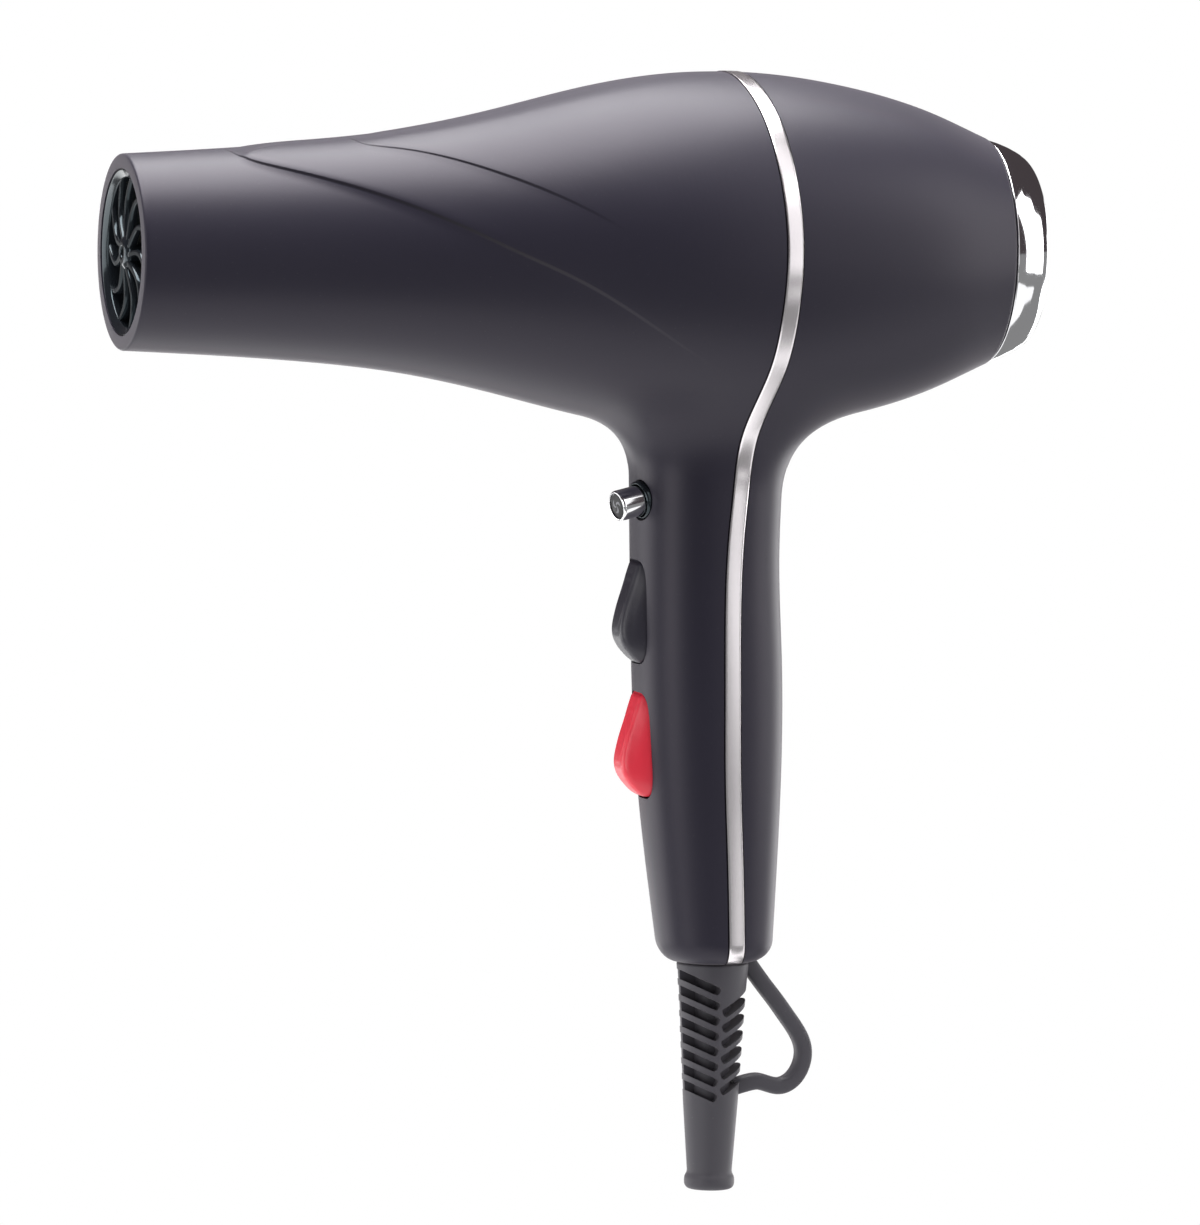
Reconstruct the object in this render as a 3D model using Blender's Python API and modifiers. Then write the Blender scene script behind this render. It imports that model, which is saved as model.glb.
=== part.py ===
"""Salon hair dryer, built as an assembly of separate pieces.

Frame: metres, +Z up. The air barrel lies along X with its outlet towards -X, the handle hangs
down along -Z, and the origin is the middle of the grip, where a hand holds the dryer.
"""

import math

import bmesh
import bpy
import numpy as np
from mathutils import Matrix, Vector

# ---------------------------------------------------------------- driving dimensions
AXIS_Z = 0.110  # height of the barrel's axis above the middle of the grip
OUTLET_X = -0.149  # plane of the air outlet's rim
REAR_X = 0.0690  # rear edge of the rear housing
WALL = 0.0022  # moulded wall of both housings
LIP = 0.0013  # how much thicker the wall is at the outlet's rim
GAP = 0.0003  # clearance between pieces that touch
TRIM_HALF = 0.0020  # half the width of the silver trim band
TRIM_PROUD = 0.0002  # how far the trim band stands out of the housings

# Outline of the barrel: (x, radius) from the outlet to the end of the chrome ring.
BARREL = [
    (-0.149, 0.0237), (-0.128, 0.0248), (-0.104, 0.0265), (-0.080, 0.0293), (-0.055, 0.0346),
    (-0.032, 0.0403), (-0.006, 0.0438), (0.014, 0.0433), (0.036, 0.0397), (0.056, 0.0336),
    (0.0694, 0.0277), (0.0794, 0.0237),
]
# Handle: (z, x of its middle, half depth along X, half width along Y).
HANDLE = [
    (-0.0643, 0.0032, 0.0138, 0.0128), (-0.049, 0.0024, 0.0152, 0.0140),
    (-0.0245, 0.0012, 0.0172, 0.0157), (0.010, -0.0001, 0.0183, 0.0166),
    (0.034, -0.0010, 0.0181, 0.0168), (0.060, -0.0010, 0.0187, 0.0174),
    (0.100, -0.0010, 0.0192, 0.0180),
]
# The parting line between the two housings, seen from the side: (z, x).
PARTING = [
    (0.1535, 0.0039), (0.1464, 0.0052), (0.1360, 0.0062), (0.1220, 0.0070), (0.1100, 0.0072),
    (0.0980, 0.0068), (0.0830, 0.0060), (0.0730, 0.0046), (0.0665, 0.0037), (0.0550, 0.0030),
    (0.0430, 0.0020), (0.0236, 0.0014), (0.0040, 0.0017), (-0.0206, 0.0024), (-0.0403, 0.0037),
    (-0.0643, 0.0051),
]
SECTION_POWER = 2.3  # the handle's cross-section is a superellipse of this power
FILLET_FRONT = 0.013  # reach of the blend between barrel and handle, ahead of the handle
FILLET_REAR = 0.017  # the same, behind it
HANDLE_TOP = 0.088  # height at which the handle's own shape ends, inside the barrel

FOOT_Z = -0.0643  # underside of the handle
FOOT_ROUND = 0.0053  # height of the rounding at the handle's foot
FOOT_HOLE = 0.0091  # radius of the cord opening in the foot
FOOT_X = 0.0024  # x of the cord opening's centre

# The housings' faces run along the barrel up to these x, and down the handle from this height.
FRONT_CORNER_X = -0.0440
REAR_CORNER_X = 0.0400
RING_Z = 0.0480

# ---------------------------------------------------------------- collections and materials
for old in list(bpy.data.objects):
    bpy.data.objects.remove(old)
dryer = bpy.data.collections.new("hair_dryer")
cutters = bpy.data.collections.new("cutters")
bpy.context.scene.collection.children.link(dryer)
bpy.context.scene.collection.children.link(cutters)


def finish(name, colour, roughness, metallic=0.0):
    """A Principled material of one colour."""
    material = bpy.data.materials.new(name)
    material.use_nodes = True
    shader = material.node_tree.nodes["Principled BSDF"]
    shader.inputs["Base Color"].default_value = (*colour, 1)
    shader.inputs["Roughness"].default_value = roughness
    shader.inputs["Metallic"].default_value = metallic
    return material


SOFT_TOUCH = finish("soft_touch_black", (0.045, 0.043, 0.052), 0.55)
SILVER = finish("satin_silver", (0.80, 0.79, 0.81), 0.18, 1.0)
CHROME = finish("chrome", (0.86, 0.86, 0.88), 0.05, 1.0)
GLOSS_BLACK = finish("gloss_black", (0.012, 0.012, 0.015), 0.15)
BLACK_PLASTIC = finish("black_plastic", (0.03, 0.03, 0.034), 0.45)
RED_PLASTIC = finish("red_plastic", (0.78, 0.05, 0.08), 0.35)
RUBBER = finish("black_rubber", (0.06, 0.058, 0.065), 0.6)
MICA = finish("mica", (0.72, 0.68, 0.56), 0.5)
WIRE = finish("heating_wire", (0.45, 0.42, 0.40), 0.35, 1.0)
STEEL = finish("steel", (0.62, 0.62, 0.64), 0.3, 1.0)
BRASS = finish("brass", (0.75, 0.58, 0.28), 0.3, 1.0)
BLUE_PLASTIC = finish("blue_plastic", (0.10, 0.22, 0.50), 0.5)
LEAD_BROWN = finish("lead_brown", (0.22, 0.10, 0.05), 0.5)
LEAD_BLUE = finish("lead_blue", (0.06, 0.15, 0.45), 0.5)


# ---------------------------------------------------------------- curves and shapes
def spline(points):
    """A natural cubic curve through (t, value, ...) rows, as a function of t."""
    table = np.array(sorted(points), float)
    t, values = table[:, 0], table[:, 1:]
    step = np.diff(t)
    slope = np.diff(values, axis=0) / step[:, None]
    matrix = np.eye(len(t))
    right = np.zeros_like(values)
    for i in range(1, len(t) - 1):
        matrix[i, i - 1 : i + 2] = step[i - 1], 2 * (step[i - 1] + step[i]), step[i]
        right[i] = 6 * (slope[i] - slope[i - 1])
    bend = np.linalg.solve(matrix, right)

    def value(at):
        at = np.asarray(at, float)
        i = np.clip(np.searchsorted(t, at) - 1, 0, len(t) - 2)
        a, b = (t[i + 1] - at)[..., None], (at - t[i])[..., None]
        h = step[i][..., None]
        return (
            (bend[i] * a**3 + bend[i + 1] * b**3) / (6 * h)
            + (values[i] / h - bend[i] * h / 6) * a
            + (values[i + 1] / h - bend[i + 1] * h / 6) * b
        )

    return value


barrel_curve = spline(BARREL)
handle_curve = spline(HANDLE)
parting_curve = spline(PARTING)


def barrel_radius(x):
    return barrel_curve(x)[..., 0]


def parting_x(z):
    return parting_curve(z)[..., 0]


def skin(x, y, z):
    """Signed distance, nearly, to the housings' outer face: below 0 inside. The barrel is round about its
    axis, the handle has superellipse sections and a rounded foot, and a smooth blend joins them."""
    barrel = np.hypot(y, z - AXIS_Z) - barrel_radius(x)
    middle, depth, width = np.moveaxis(handle_curve(np.clip(z, FOOT_Z, HANDLE_TOP)), -1, 0)
    foot = np.clip((FOOT_Z + FOOT_ROUND - z) / FOOT_ROUND, 0, 1)
    full = np.sqrt(1 - foot**2)
    depth = FOOT_HOLE + (depth - FOOT_HOLE) * full
    width = FOOT_HOLE + (width - FOOT_HOLE) * full
    middle = FOOT_X + (middle - FOOT_X) * full
    power = 2 + (SECTION_POWER - 2) * full
    reach = (np.abs((x - middle) / depth) ** power + np.abs(y / width) ** power) ** (1 / power)
    handle = np.maximum((reach - 1) * np.minimum(depth, width), z - HANDLE_TOP)
    share = np.clip(x / 0.02 + 0.5, 0, 1)
    fillet = FILLET_FRONT + (FILLET_REAR - FILLET_FRONT) * share
    near = np.maximum(fillet - np.abs(barrel - handle), 0) / fillet
    return np.minimum(barrel, handle) - near**2 * fillet / 4


def crossing(function, outside, inside):
    """Where a function that is above 0 at outside and below 0 at inside passes 0, by halving."""
    outside, inside = np.array(outside, float), np.array(inside, float)
    for _ in range(45):
        middle = (outside + inside) / 2
        out = function(middle) > 0
        outside, inside = np.where(out, middle, outside), np.where(out, inside, middle)
    return (outside + inside) / 2


def side_y(x, z, lift=0.0):
    """How far the outer face, raised by lift, stands from the middle plane at (x, z)."""
    far = np.full(np.shape(x), 0.06)
    return crossing(lambda y: skin(x, y, z) - lift, far, 0 * far)


def even(first, last, count):
    return np.linspace(first, last, count)


def foot_heights(count):
    """Heights down the rounded foot, spaced evenly round its quarter circle."""
    return FOOT_Z + FOOT_ROUND * (1 - np.sin(even(0, math.pi / 2, count)))


def hit(base, direction, lift):
    """Points where rays from inside the dryer meet the face that lies lift outside the housings."""
    reach = crossing(
        lambda r: skin(*np.moveaxis(base + r[..., None] * direction, -1, 0)) - lift,
        np.full(base.shape[:-1], 0.075), np.zeros(base.shape[:-1]),
    )
    return base + reach[..., None] * direction


def barrel_rings(x, count, lift):
    """Half rings round the barrel, top to bottom on the +Y side, one for each x. Rows are steps round."""
    turn = even(0, math.pi, count + 1)[:, None] + 0 * x
    base = np.stack([x + 0 * turn, 0 * turn, AXIS_Z + 0 * turn], -1)
    points = hit(base, np.stack([0 * turn, np.sin(turn), np.cos(turn)], -1), lift)
    points[[0, -1], :, 1] = 0
    return points


def handle_rings(z, side, offset, count, lift):
    """Part rings round the handle from its front or rear edge to the parting line, one row for each z."""
    middle = handle_curve(z)[:, 0]
    end_x = parting_x(z) + offset
    end = np.arctan2(side_y(end_x, z, lift), (end_x - middle) * side)
    turn = even(0, 1, count + 1) * end[:, None]
    base = np.stack([middle[:, None] + 0 * turn, 0 * turn, z[:, None] + 0 * turn], -1)
    points = hit(base, np.stack([side * np.cos(turn), np.sin(turn), 0 * turn], -1), lift)
    points[:, 0, 1] = 0
    return points


def parting_heights(round_barrel, down, lift):
    """Heights down the parting line: evenly round the barrel, then evenly to the handle's first ring."""
    turn = even(0, 0.74 * math.pi, round_barrel + 1)
    radius = barrel_radius(parting_x(AXIS_Z)) + lift
    heights = AXIS_Z + radius * np.cos(turn)
    return np.append(heights, even(heights[-1], RING_Z, down + 1)[1:])


def edge_line(heights, offset, lift):
    """Points of a housing's face beside the parting line, top to bottom."""
    x = parting_x(heights) + offset
    z = heights.copy()
    z[0] = AXIS_Z + barrel_radius(x[0]) + lift
    y = side_y(x, z, lift)
    y[0] = 0
    return np.stack([x, y, z], -1)


def onto_skin(points, lift):
    """Moves points to the nearest place on the face that lies lift outside the housings."""
    step = 1e-5
    for _ in range(12):
        here = skin(*np.moveaxis(points, -1, 0)) - lift
        slope = np.stack([
            (skin(*np.moveaxis(points + move, -1, 0)) - lift - here) / step for move in np.eye(3) * step
        ], -1)
        points = points - 0.9 * (here / (slope**2).sum(-1))[..., None] * slope
    return points


def junction(side, corner_x, counts, lift):
    """The face where the barrel turns into the handle, as a grid between four lines: the barrel's last ring,
    the top of the barrel, the parting line, and the fillet below with the handle's first ring."""
    round_barrel, down, fillet, ring = counts
    offset = side * (TRIM_HALF + GAP)
    left = barrel_rings(np.array([corner_x]), round_barrel + down, lift)[:, 0]
    right = edge_line(parting_heights(round_barrel, down, lift), offset, lift)
    across = even(0, 1, fillet + ring + 1)
    x = left[0, 0] + (right[0, 0] - left[0, 0]) * across
    top = np.stack([x, 0 * x, AXIS_Z + barrel_radius(x) + lift], -1)
    first_ring = handle_rings(np.array([RING_Z]), side, offset, ring, lift)[0]
    # The fillet's outline, found with rays that fan out from a point inside the dryer.
    hub = np.array([0.0, 0, AXIS_Z - 0.008])
    start, stop = left[-1] - hub, first_ring[0] - hub
    angle = even(math.atan2(start[0], start[2]) % (2 * math.pi), math.atan2(stop[0], stop[2]) % (2 * math.pi),
                 fillet + 1)
    fan = np.stack([np.sin(angle), 0 * angle, np.cos(angle)], -1)
    outline = hit(np.broadcast_to(hub, fan.shape), fan, lift)
    outline[[0, -1]] = left[-1], first_ring[0]
    bottom = np.concatenate([outline[:-1], first_ring])
    s, t = even(0, 1, len(left))[:, None, None], across[None, :, None]
    ruled = left[:, None] * (1 - t) + right[:, None] * t
    crossed = top[None] * (1 - s) + bottom[None] * s
    corners = (left[0] * (1 - t) + right[0] * t) * (1 - s) + (left[-1] * (1 - t) + right[-1] * t) * s
    grid = ruled + crossed - corners
    grid[1:-1, 1:-1] = onto_skin(grid[1:-1, 1:-1], lift)
    return grid


def housing_grids(side, stations, counts, rows, lift, lip=0.0):
    """The three grids of one face of a housing's +Y half: barrel, junction and handle. The first two of
    the barrel's stations stand lip further in, which thickens the wall at its open end."""
    round_barrel, down, _, ring = counts
    corner_x = stations[-1]
    at_lip = np.arange(len(stations)) < 2
    barrel = barrel_rings(np.array(stations), round_barrel + down, lift - lip * at_lip)
    heights = np.append(even(RING_Z, FOOT_Z + FOOT_ROUND, rows[0] + 1), foot_heights(rows[1] + 1)[1:])
    handle = handle_rings(heights, side, side * (TRIM_HALF + GAP), ring, lift)
    return barrel, junction(side, corner_x, counts, lift), handle


def strip(one, other):
    """The grid of one row of quads between two lines."""
    return np.stack([one, other])


def shell_mesh(name, outer, inner, edges):
    """A mesh of a wall's outer and inner grids, closed by strips between their matching edges."""
    grids = list(outer) + list(inner) + [strip(edge(outer), edge(inner)) for edge in edges]
    points, quads, start = [], [], 0
    for grid in grids:
        rows, columns = grid.shape[:2]
        index = start + np.arange(rows * columns).reshape(rows, columns)
        corners = index[:-1, :-1], index[1:, :-1], index[1:, 1:], index[:-1, 1:]
        quads.append(np.stack(corners, -1).reshape(-1, 4))
        points.append(grid.reshape(-1, 3))
        start += rows * columns
    bm = bmesh.new()
    made = [bm.verts.new(p) for p in np.concatenate(points)]
    for quad in np.concatenate(quads):
        bm.faces.new([made[i] for i in quad])
    bmesh.ops.remove_doubles(bm, verts=bm.verts, dist=2e-6)
    bmesh.ops.mirror(bm, geom=bm.verts[:] + bm.edges[:] + bm.faces[:], axis="Y", merge_dist=1e-6)
    bmesh.ops.recalc_face_normals(bm, faces=bm.faces)
    mesh = bpy.data.meshes.new(name)
    bm.to_mesh(mesh)
    bm.free()
    return mesh


def housing(name, side, stations, counts, rows, lip):
    """One housing: its outer face, the same face a wall's thickness inside, and the edges between them."""
    outer = housing_grids(side, stations, counts, rows, 0.0)
    inner = housing_grids(side, stations, counts, rows, -WALL, lip)
    edges = [
        lambda face: face[0][:, 0],
        lambda face: face[1][:, -1],
        lambda face: face[2][:, -1],
        lambda face: face[2][-1],
    ]
    return link(name, shell_mesh(name, outer, inner, edges), SOFT_TOUCH)


def link(name, mesh, material, collection=dryer):
    """A new object of this mesh, with one material."""
    made = bpy.data.objects.new(name, mesh)
    if material:
        mesh.materials.append(material)
    collection.objects.link(made)
    return made


def mesh_of(name, build):
    """A mesh from build(bm), with its faces turned outwards."""
    bm = bmesh.new()
    build(bm)
    bmesh.ops.recalc_face_normals(bm, faces=bm.faces)
    mesh = bpy.data.meshes.new(name)
    bm.to_mesh(mesh)
    bm.free()
    return mesh


def turned(name, outline, material, steps=32, axis="X", centre=(0, 0, AXIS_Z), collection=dryer):
    """A solid of revolution about an axis through centre. outline is a closed loop of (along, radius)."""
    def build(bm):
        loop = [bm.verts.new((a, 0, r) if axis == "X" else (0, r, a)) for a, r in outline]
        pairs = zip(outline, outline[1:] + outline[:1], loop, loop[1:] + loop[:1])
        lines = [bm.edges.new((first, last)) for here, there, first, last in pairs if here[1] or there[1]]
        bmesh.ops.spin(bm, geom=loop + lines, axis=(1, 0, 0) if axis == "X" else (0, 0, 1), angle=2 * math.pi,
                       steps=steps, use_merge=True)
        bmesh.ops.remove_doubles(bm, verts=bm.verts, dist=1e-6)
    made = link(name, mesh_of(name, build), material, collection)
    made.location = centre
    return made


def block(name, size, centre, material, collection=dryer, edge=0.0):
    """A box, with its edges rounded by edge."""
    mesh = mesh_of(name, lambda bm: bmesh.ops.create_cube(bm, size=1, matrix=Matrix.Diagonal((*size, 1))))
    made = link(name, mesh, material, collection)
    made.location = centre
    if edge:
        bevel = made.modifiers.new("edge", "BEVEL")
        bevel.width = edge
        bevel.segments = 2
    return made


def rod(name, radius, start, end, material, segments=20, collection=dryer):
    """A round bar between two points."""
    start, end = Vector(start), Vector(end)
    turn = (end - start).to_track_quat("Z", "Y").to_matrix().to_4x4()
    mesh = mesh_of(name, lambda bm: bmesh.ops.create_cone(
        bm, cap_ends=True, segments=segments, radius1=radius, radius2=radius, depth=(end - start).length,
    ))
    mesh.transform(turn)
    made = link(name, mesh, material, collection)
    made.location = (start + end) / 2
    return made


def helper(made):
    """Marks an object as a cutter or a piece that only lends its shape."""
    made.hide_render = True
    made.display_type = "WIRE"
    return made


def combine(target, other, operation):
    """A Boolean of target with a helper object."""
    boolean = target.modifiers.new(operation.lower(), "BOOLEAN")
    boolean.operation = operation
    boolean.object = helper(other)
    return target


def cut(target, other):
    return combine(target, other, "DIFFERENCE")


def add(target, other):
    return combine(target, other, "UNION")


def tube(name, points, radius, material):
    """A wire of this radius along a row of points, with filled ends."""
    curve = bpy.data.curves.new(name, "CURVE")
    curve.dimensions = "3D"
    curve.bevel_depth = radius
    curve.bevel_resolution = 1
    curve.use_fill_caps = True
    line = curve.splines.new("POLY")
    line.points.add(len(points) - 1)
    line.points.foreach_set("co", np.c_[np.array(points, float), np.ones(len(points))].ravel())
    return link(name, curve, material)


def as_mesh(made):
    """The same object as a mesh with its loose caps welded, so that a Boolean can use it."""
    graph = bpy.context.evaluated_depsgraph_get()
    mesh = bpy.data.meshes.new_from_object(made.evaluated_get(graph))
    bm = bmesh.new()
    bm.from_mesh(mesh)
    bmesh.ops.remove_doubles(bm, verts=bm.verts, dist=1e-6)
    bmesh.ops.recalc_face_normals(bm, faces=bm.faces)
    bm.to_mesh(mesh)
    bm.free()
    name, place, home = made.name, made.matrix_world.copy(), made.users_collection[0]
    bpy.data.objects.remove(made)
    solid = bpy.data.objects.new(name, mesh)
    solid.matrix_world = place
    home.objects.link(solid)
    return solid


def plate(name, outline, half_width, material, place, collection=dryer, edge=0.0):
    """A flat piece: an outline of (x, z) pairs, half_width thick each way along Y, moved to place."""
    curve = bpy.data.curves.new(name, "CURVE")
    curve.dimensions = "2D"
    curve.fill_mode = "BOTH"
    curve.extrude = half_width
    line = curve.splines.new("POLY")
    line.points.add(len(outline) - 1)
    line.points.foreach_set("co", [c for x, z in outline for c in (x, z, 0, 1)])
    line.use_cyclic_u = True
    flat = link(name, curve, material, collection)
    flat.matrix_world = Matrix.Translation(place) @ Matrix.Rotation(math.pi / 2, 4, "X")
    bpy.context.view_layer.update()
    made = as_mesh(flat)
    if edge:
        bevel = made.modifiers.new("edge", "BEVEL")
        bevel.width = edge
        bevel.segments = 2
        bevel.limit_method = "ANGLE"
    return made


def smooth_line(points, count):
    """count points evenly spaced in t along a smooth curve through points."""
    stations = even(0, 1, len(points))
    curve = spline([(t, *p) for t, p in zip(stations, points)])
    return curve(even(0, 1, count))


# ---------------------------------------------------------------- housings and trim band
front_stations = [
    OUTLET_X, -0.1462, -0.1452, -0.134, -0.119, -0.104, -0.090, -0.077, -0.065, -0.054, FRONT_CORNER_X,
]
front = housing("front_housing", -1, front_stations, (12, 3, 4, 4), (6, 3), LIP)
rear_stations = [REAR_X, 0.0625, 0.055, 0.0475, REAR_CORNER_X]
rear = housing("rear_housing", 1, rear_stations, (12, 3, 4, 4), (6, 3), 0.0)


def trim_grids(lift):
    """The trim band's +Y half: across its width, down the parting line to the foot."""
    heights = np.concatenate([
        parting_heights(12, 3, lift),
        even(RING_Z, FOOT_Z + FOOT_ROUND, 7)[1:],
        foot_heights(4)[1:],
    ])
    return [np.stack([edge_line(heights, offset, lift) for offset in (-TRIM_HALF, TRIM_HALF)], 1)]


trim = link(
    "trim_band",
    shell_mesh("trim_band", trim_grids(TRIM_PROUD), trim_grids(-WALL), [
        lambda face: face[0][:, 0], lambda face: face[0][:, -1], lambda face: face[0][-1],
    ]),
    SILVER,
)


# ---------------------------------------------------------------- air outlet, heater, fan and intake
def spun(name, count, corners, collection=cutters):
    """count copies, turned about the barrel's axis, of a bar given as sections of four (x, y, z) corners."""
    def build(bm):
        for turn in even(0, 2 * math.pi, count + 1)[:-1]:
            spin = Matrix.Rotation(turn, 3, "X")
            rings = [[bm.verts.new(spin @ Vector(c)) for c in section] for section in corners]
            for a, b in zip(rings, rings[1:]):
                for i in range(4):
                    bm.faces.new((a[i], a[(i + 1) % 4], b[(i + 1) % 4], b[i]))
            bm.faces.new(rings[0])
            bm.faces.new(rings[-1])
    made = link(name, mesh_of(name, build), None, collection)
    made.location = (0, 0, AXIS_Z)
    return made


def bar_section(radius, turn, front_x, back_x, half):
    """Four corners of a rib's section at this radius and angle, half thick each way across the rib."""
    out = Vector((0, -math.sin(turn), math.cos(turn)))
    side = Vector((0, math.cos(turn), math.sin(turn))) * half
    return [out * radius + side * k + Vector((x, 0, 0))
            for k, x in ((-1, front_x), (1, front_x), (1, back_x), (-1, back_x))]


def flat_ring(name, inner, outer, low, high, material, steps=32, collection=dryer):
    """A washer about the barrel's axis between two x and two radii."""
    return turned(name, [(low, inner), (high, inner), (high, outer), (low, outer)], material, steps,
                  collection=collection)


GRILLE_X = -0.1484  # front of the grille's ring, just inside the housing's lip
GRILLE_SHOULDER_X = -0.1448  # where its ring widens behind the lip
grille = turned("outlet_grille", [
    (GRILLE_X, 0.0195), (GRILLE_X, 0.0199), (GRILLE_SHOULDER_X, 0.0199), (GRILLE_SHOULDER_X, 0.0210),
    (-0.1395, 0.0210), (-0.1395, 0.0180), (GRILLE_X + 0.0014, 0.0180),
], GLOSS_BLACK, 28)
spoke = [
    bar_section(r, t, GRILLE_X + 0.0008, GRILLE_X + 0.0036, 0.0005)
    for r, t in ((0.0030, 0.0), (0.0065, 0.16), (0.0105, 0.16), (0.0145, 0.02), (0.0190, -0.20))
]
add(grille, spun("spokes", 11, spoke))
add(grille, turned("grille_hub", [
    (GRILLE_X - 0.0004, 0.0014), (GRILLE_X - 0.0004, 0.0030), (GRILLE_X + 0.0008, 0.0044),
    (GRILLE_X + 0.0044, 0.0044), (GRILLE_X + 0.0044, 0.0014),
], None, 24, collection=cutters))

turned("heat_shield", [
    (-0.1385, 0.0198), (-0.0640, 0.0250), (-0.0640, 0.0256), (-0.1385, 0.0204),
], MICA, 28)

BOARD_HALF = 0.0130  # half the width of the crossed mica boards
BOARD_X = (-0.1340, -0.0720)


def board(name, turn, notch_side):
    """One of two crossed mica boards, with a slot from one end for the other board."""
    length = BOARD_X[1] - BOARD_X[0]
    made = block(name, (length, 2 * BOARD_HALF, 0.0007), (sum(BOARD_X) / 2, 0, AXIS_Z), MICA)
    made.rotation_euler = (turn, 0, 0)
    slot_x = sum(BOARD_X) / 2 + notch_side * (length / 2 - 0.0002)
    slot = block(name + "_slot", (length, 0.0013, 0.004), (slot_x, 0, AXIS_Z), None, cutters)
    slot.rotation_euler = (turn, 0, 0)
    return cut(made, slot)


board("heater_board_flat", 0.0, 1)
board("heater_board_upright", math.pi / 2, -1)


def winding(name, first_x, last_x, turns):
    """A heating wire wound round the boards, which hold it at eight corners in each turn."""
    steps = 8 * turns
    angle = even(0, 2 * math.pi * turns, steps + 1) + math.pi / 8
    radius = 0.0154
    points = np.stack([
        even(first_x, last_x, steps + 1), radius * np.sin(angle), AXIS_Z + radius * np.cos(angle),
    ], -1)
    return tube(name, points, 0.0007, WIRE)


winding("heating_coil_front", -0.1310, -0.1060, 5)
winding("heating_coil_rear", -0.1000, -0.0760, 5)
block("thermostat", (0.009, 0.0055, 0.003), (-0.0830, 0.0070, AXIS_Z + 0.0022), BRASS, edge=0.0004)
rod("thermal_fuse", 0.0013, (-0.1080, -0.0075, AXIS_Z + 0.0021), (-0.0980, -0.0075, AXIS_Z + 0.0021),
    STEEL, 12)

MOTOR_X = (-0.0100, 0.0260)
turned("motor", [
    (MOTOR_X[0] - 0.004, 0.00158), (MOTOR_X[0] - 0.004, 0.0060), (MOTOR_X[0], 0.0064), (MOTOR_X[0], 0.0165),
    (MOTOR_X[0] + 0.0015, 0.0180), (MOTOR_X[1], 0.0180), (MOTOR_X[1], 0.0060), (MOTOR_X[1] + 0.002, 0.0056),
    (MOTOR_X[1] + 0.002, 0.00158),
], STEEL, 24)
shroud = turned("fan_shroud", [
    (-0.0120, 0.0316), (0.0150, 0.0310), (0.0470, 0.0310), (0.0470, 0.0326), (0.0140, 0.0326),
    (-0.0120, 0.0332),
], BLACK_PLASTIC, 28)
vane = [
    [Vector((x, y + k, r)) for k, x, y in ((-0.0006, -0.010, -0.0025), (0.0006, -0.010, -0.0025),
                                           (0.0006, 0.012, 0.0025), (-0.0006, 0.012, 0.0025))]
    for r in (0.0190, 0.0318)
]
add(shroud, spun("vanes", 7, vane))
add(shroud, flat_ring("motor_sleeve", 0.0184, 0.0198, -0.0110, 0.0150, None, 28, cutters))

rod("motor_shaft", 0.0015, (-0.0170, 0, AXIS_Z), (0.0440, 0, AXIS_Z), STEEL, 20)
impeller = turned("fan_impeller", [
    (0.0300, 0.0018), (0.0300, 0.0105), (0.0400, 0.0090), (0.0430, 0.0060), (0.0430, 0.0018),
], BLACK_PLASTIC, 20)


def blade_section(radius, pitch, chord):
    """Corners of a fan blade's section: chord long, 1.1 mm thick, pitched about its own span."""
    along = Vector((math.cos(pitch), math.sin(pitch), 0)) * chord / 2
    thick = Vector((-math.sin(pitch), math.cos(pitch), 0)) * 0.00055
    corners = ((-1, -1), (-1, 1), (1, 1), (1, -1))
    return [Vector((0.0355, 0, radius)) + along * a + thick * b for a, b in corners]


add(impeller, spun("blades", 9, [
    blade_section(0.0070, 0.55, 0.0085), blade_section(0.0140, 0.80, 0.0120),
    blade_section(0.0215, 0.98, 0.0145),
    blade_section(0.0286, 1.10, 0.0160),
]))

RING_X = (REAR_X + GAP, 0.0791)
turned("rear_ring", [
    (0.0600, 0.0234), (0.0600, 0.0244), (RING_X[0], 0.0247), (RING_X[0], 0.0275), (0.0745, 0.0257),
    (0.0768, 0.0244), (0.0783, 0.0233), (RING_X[1], 0.0224), (RING_X[1], 0.0203), (0.0780, 0.0201),
    (0.0720, 0.0212),
], CHROME, 32)
intake = turned("intake_grille", [
    (0.0700, 0.0188), (0.0718, 0.0188), (0.0718, 0.0208), (0.0640, 0.0222), (0.0640, 0.0215),
], BLACK_PLASTIC, 28)
add(intake, spun("intake_ribs", 8, [
    bar_section(r, 0, 0.0702, 0.0716, 0.0005) for r in (0.0032, 0.0200)
]))
add(intake, flat_ring("intake_rib_outer", 0.0129, 0.0137, 0.0700, 0.0717, None, 24, cutters))
add(intake, flat_ring("intake_rib_inner", 0.0078, 0.0086, 0.0700, 0.0717, None, 20, cutters))
add(intake, turned("intake_hub", [
    (0.0699, 0.0), (0.0699, 0.0042), (0.0717, 0.0042), (0.0721, 0.0034), (0.0721, 0.0),
], None, 16, collection=cutters))
turned("filter_mesh", [(0.0688, 0.0), (0.0688, 0.0187), (0.0693, 0.0187), (0.0693, 0.0)], STEEL, 32)


# ---------------------------------------------------------------- cool-shot button
PRESS = Vector((-math.cos(0.24) * math.cos(0.20), -math.sin(0.24) * math.cos(0.20), -math.sin(0.20)))
BUTTON = Vector((-0.0190, -0.0045, 0.0496))  # where the button's axis leaves the handle
BUTTON_R = 0.0039


def on_press_axis(made):
    """Moves a piece turned about Z so that its +Z runs out along the button's axis from the handle's face."""
    made.matrix_world = Matrix.Translation(BUTTON) @ PRESS.to_track_quat("Z", "Y").to_matrix().to_4x4()
    return made


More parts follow.
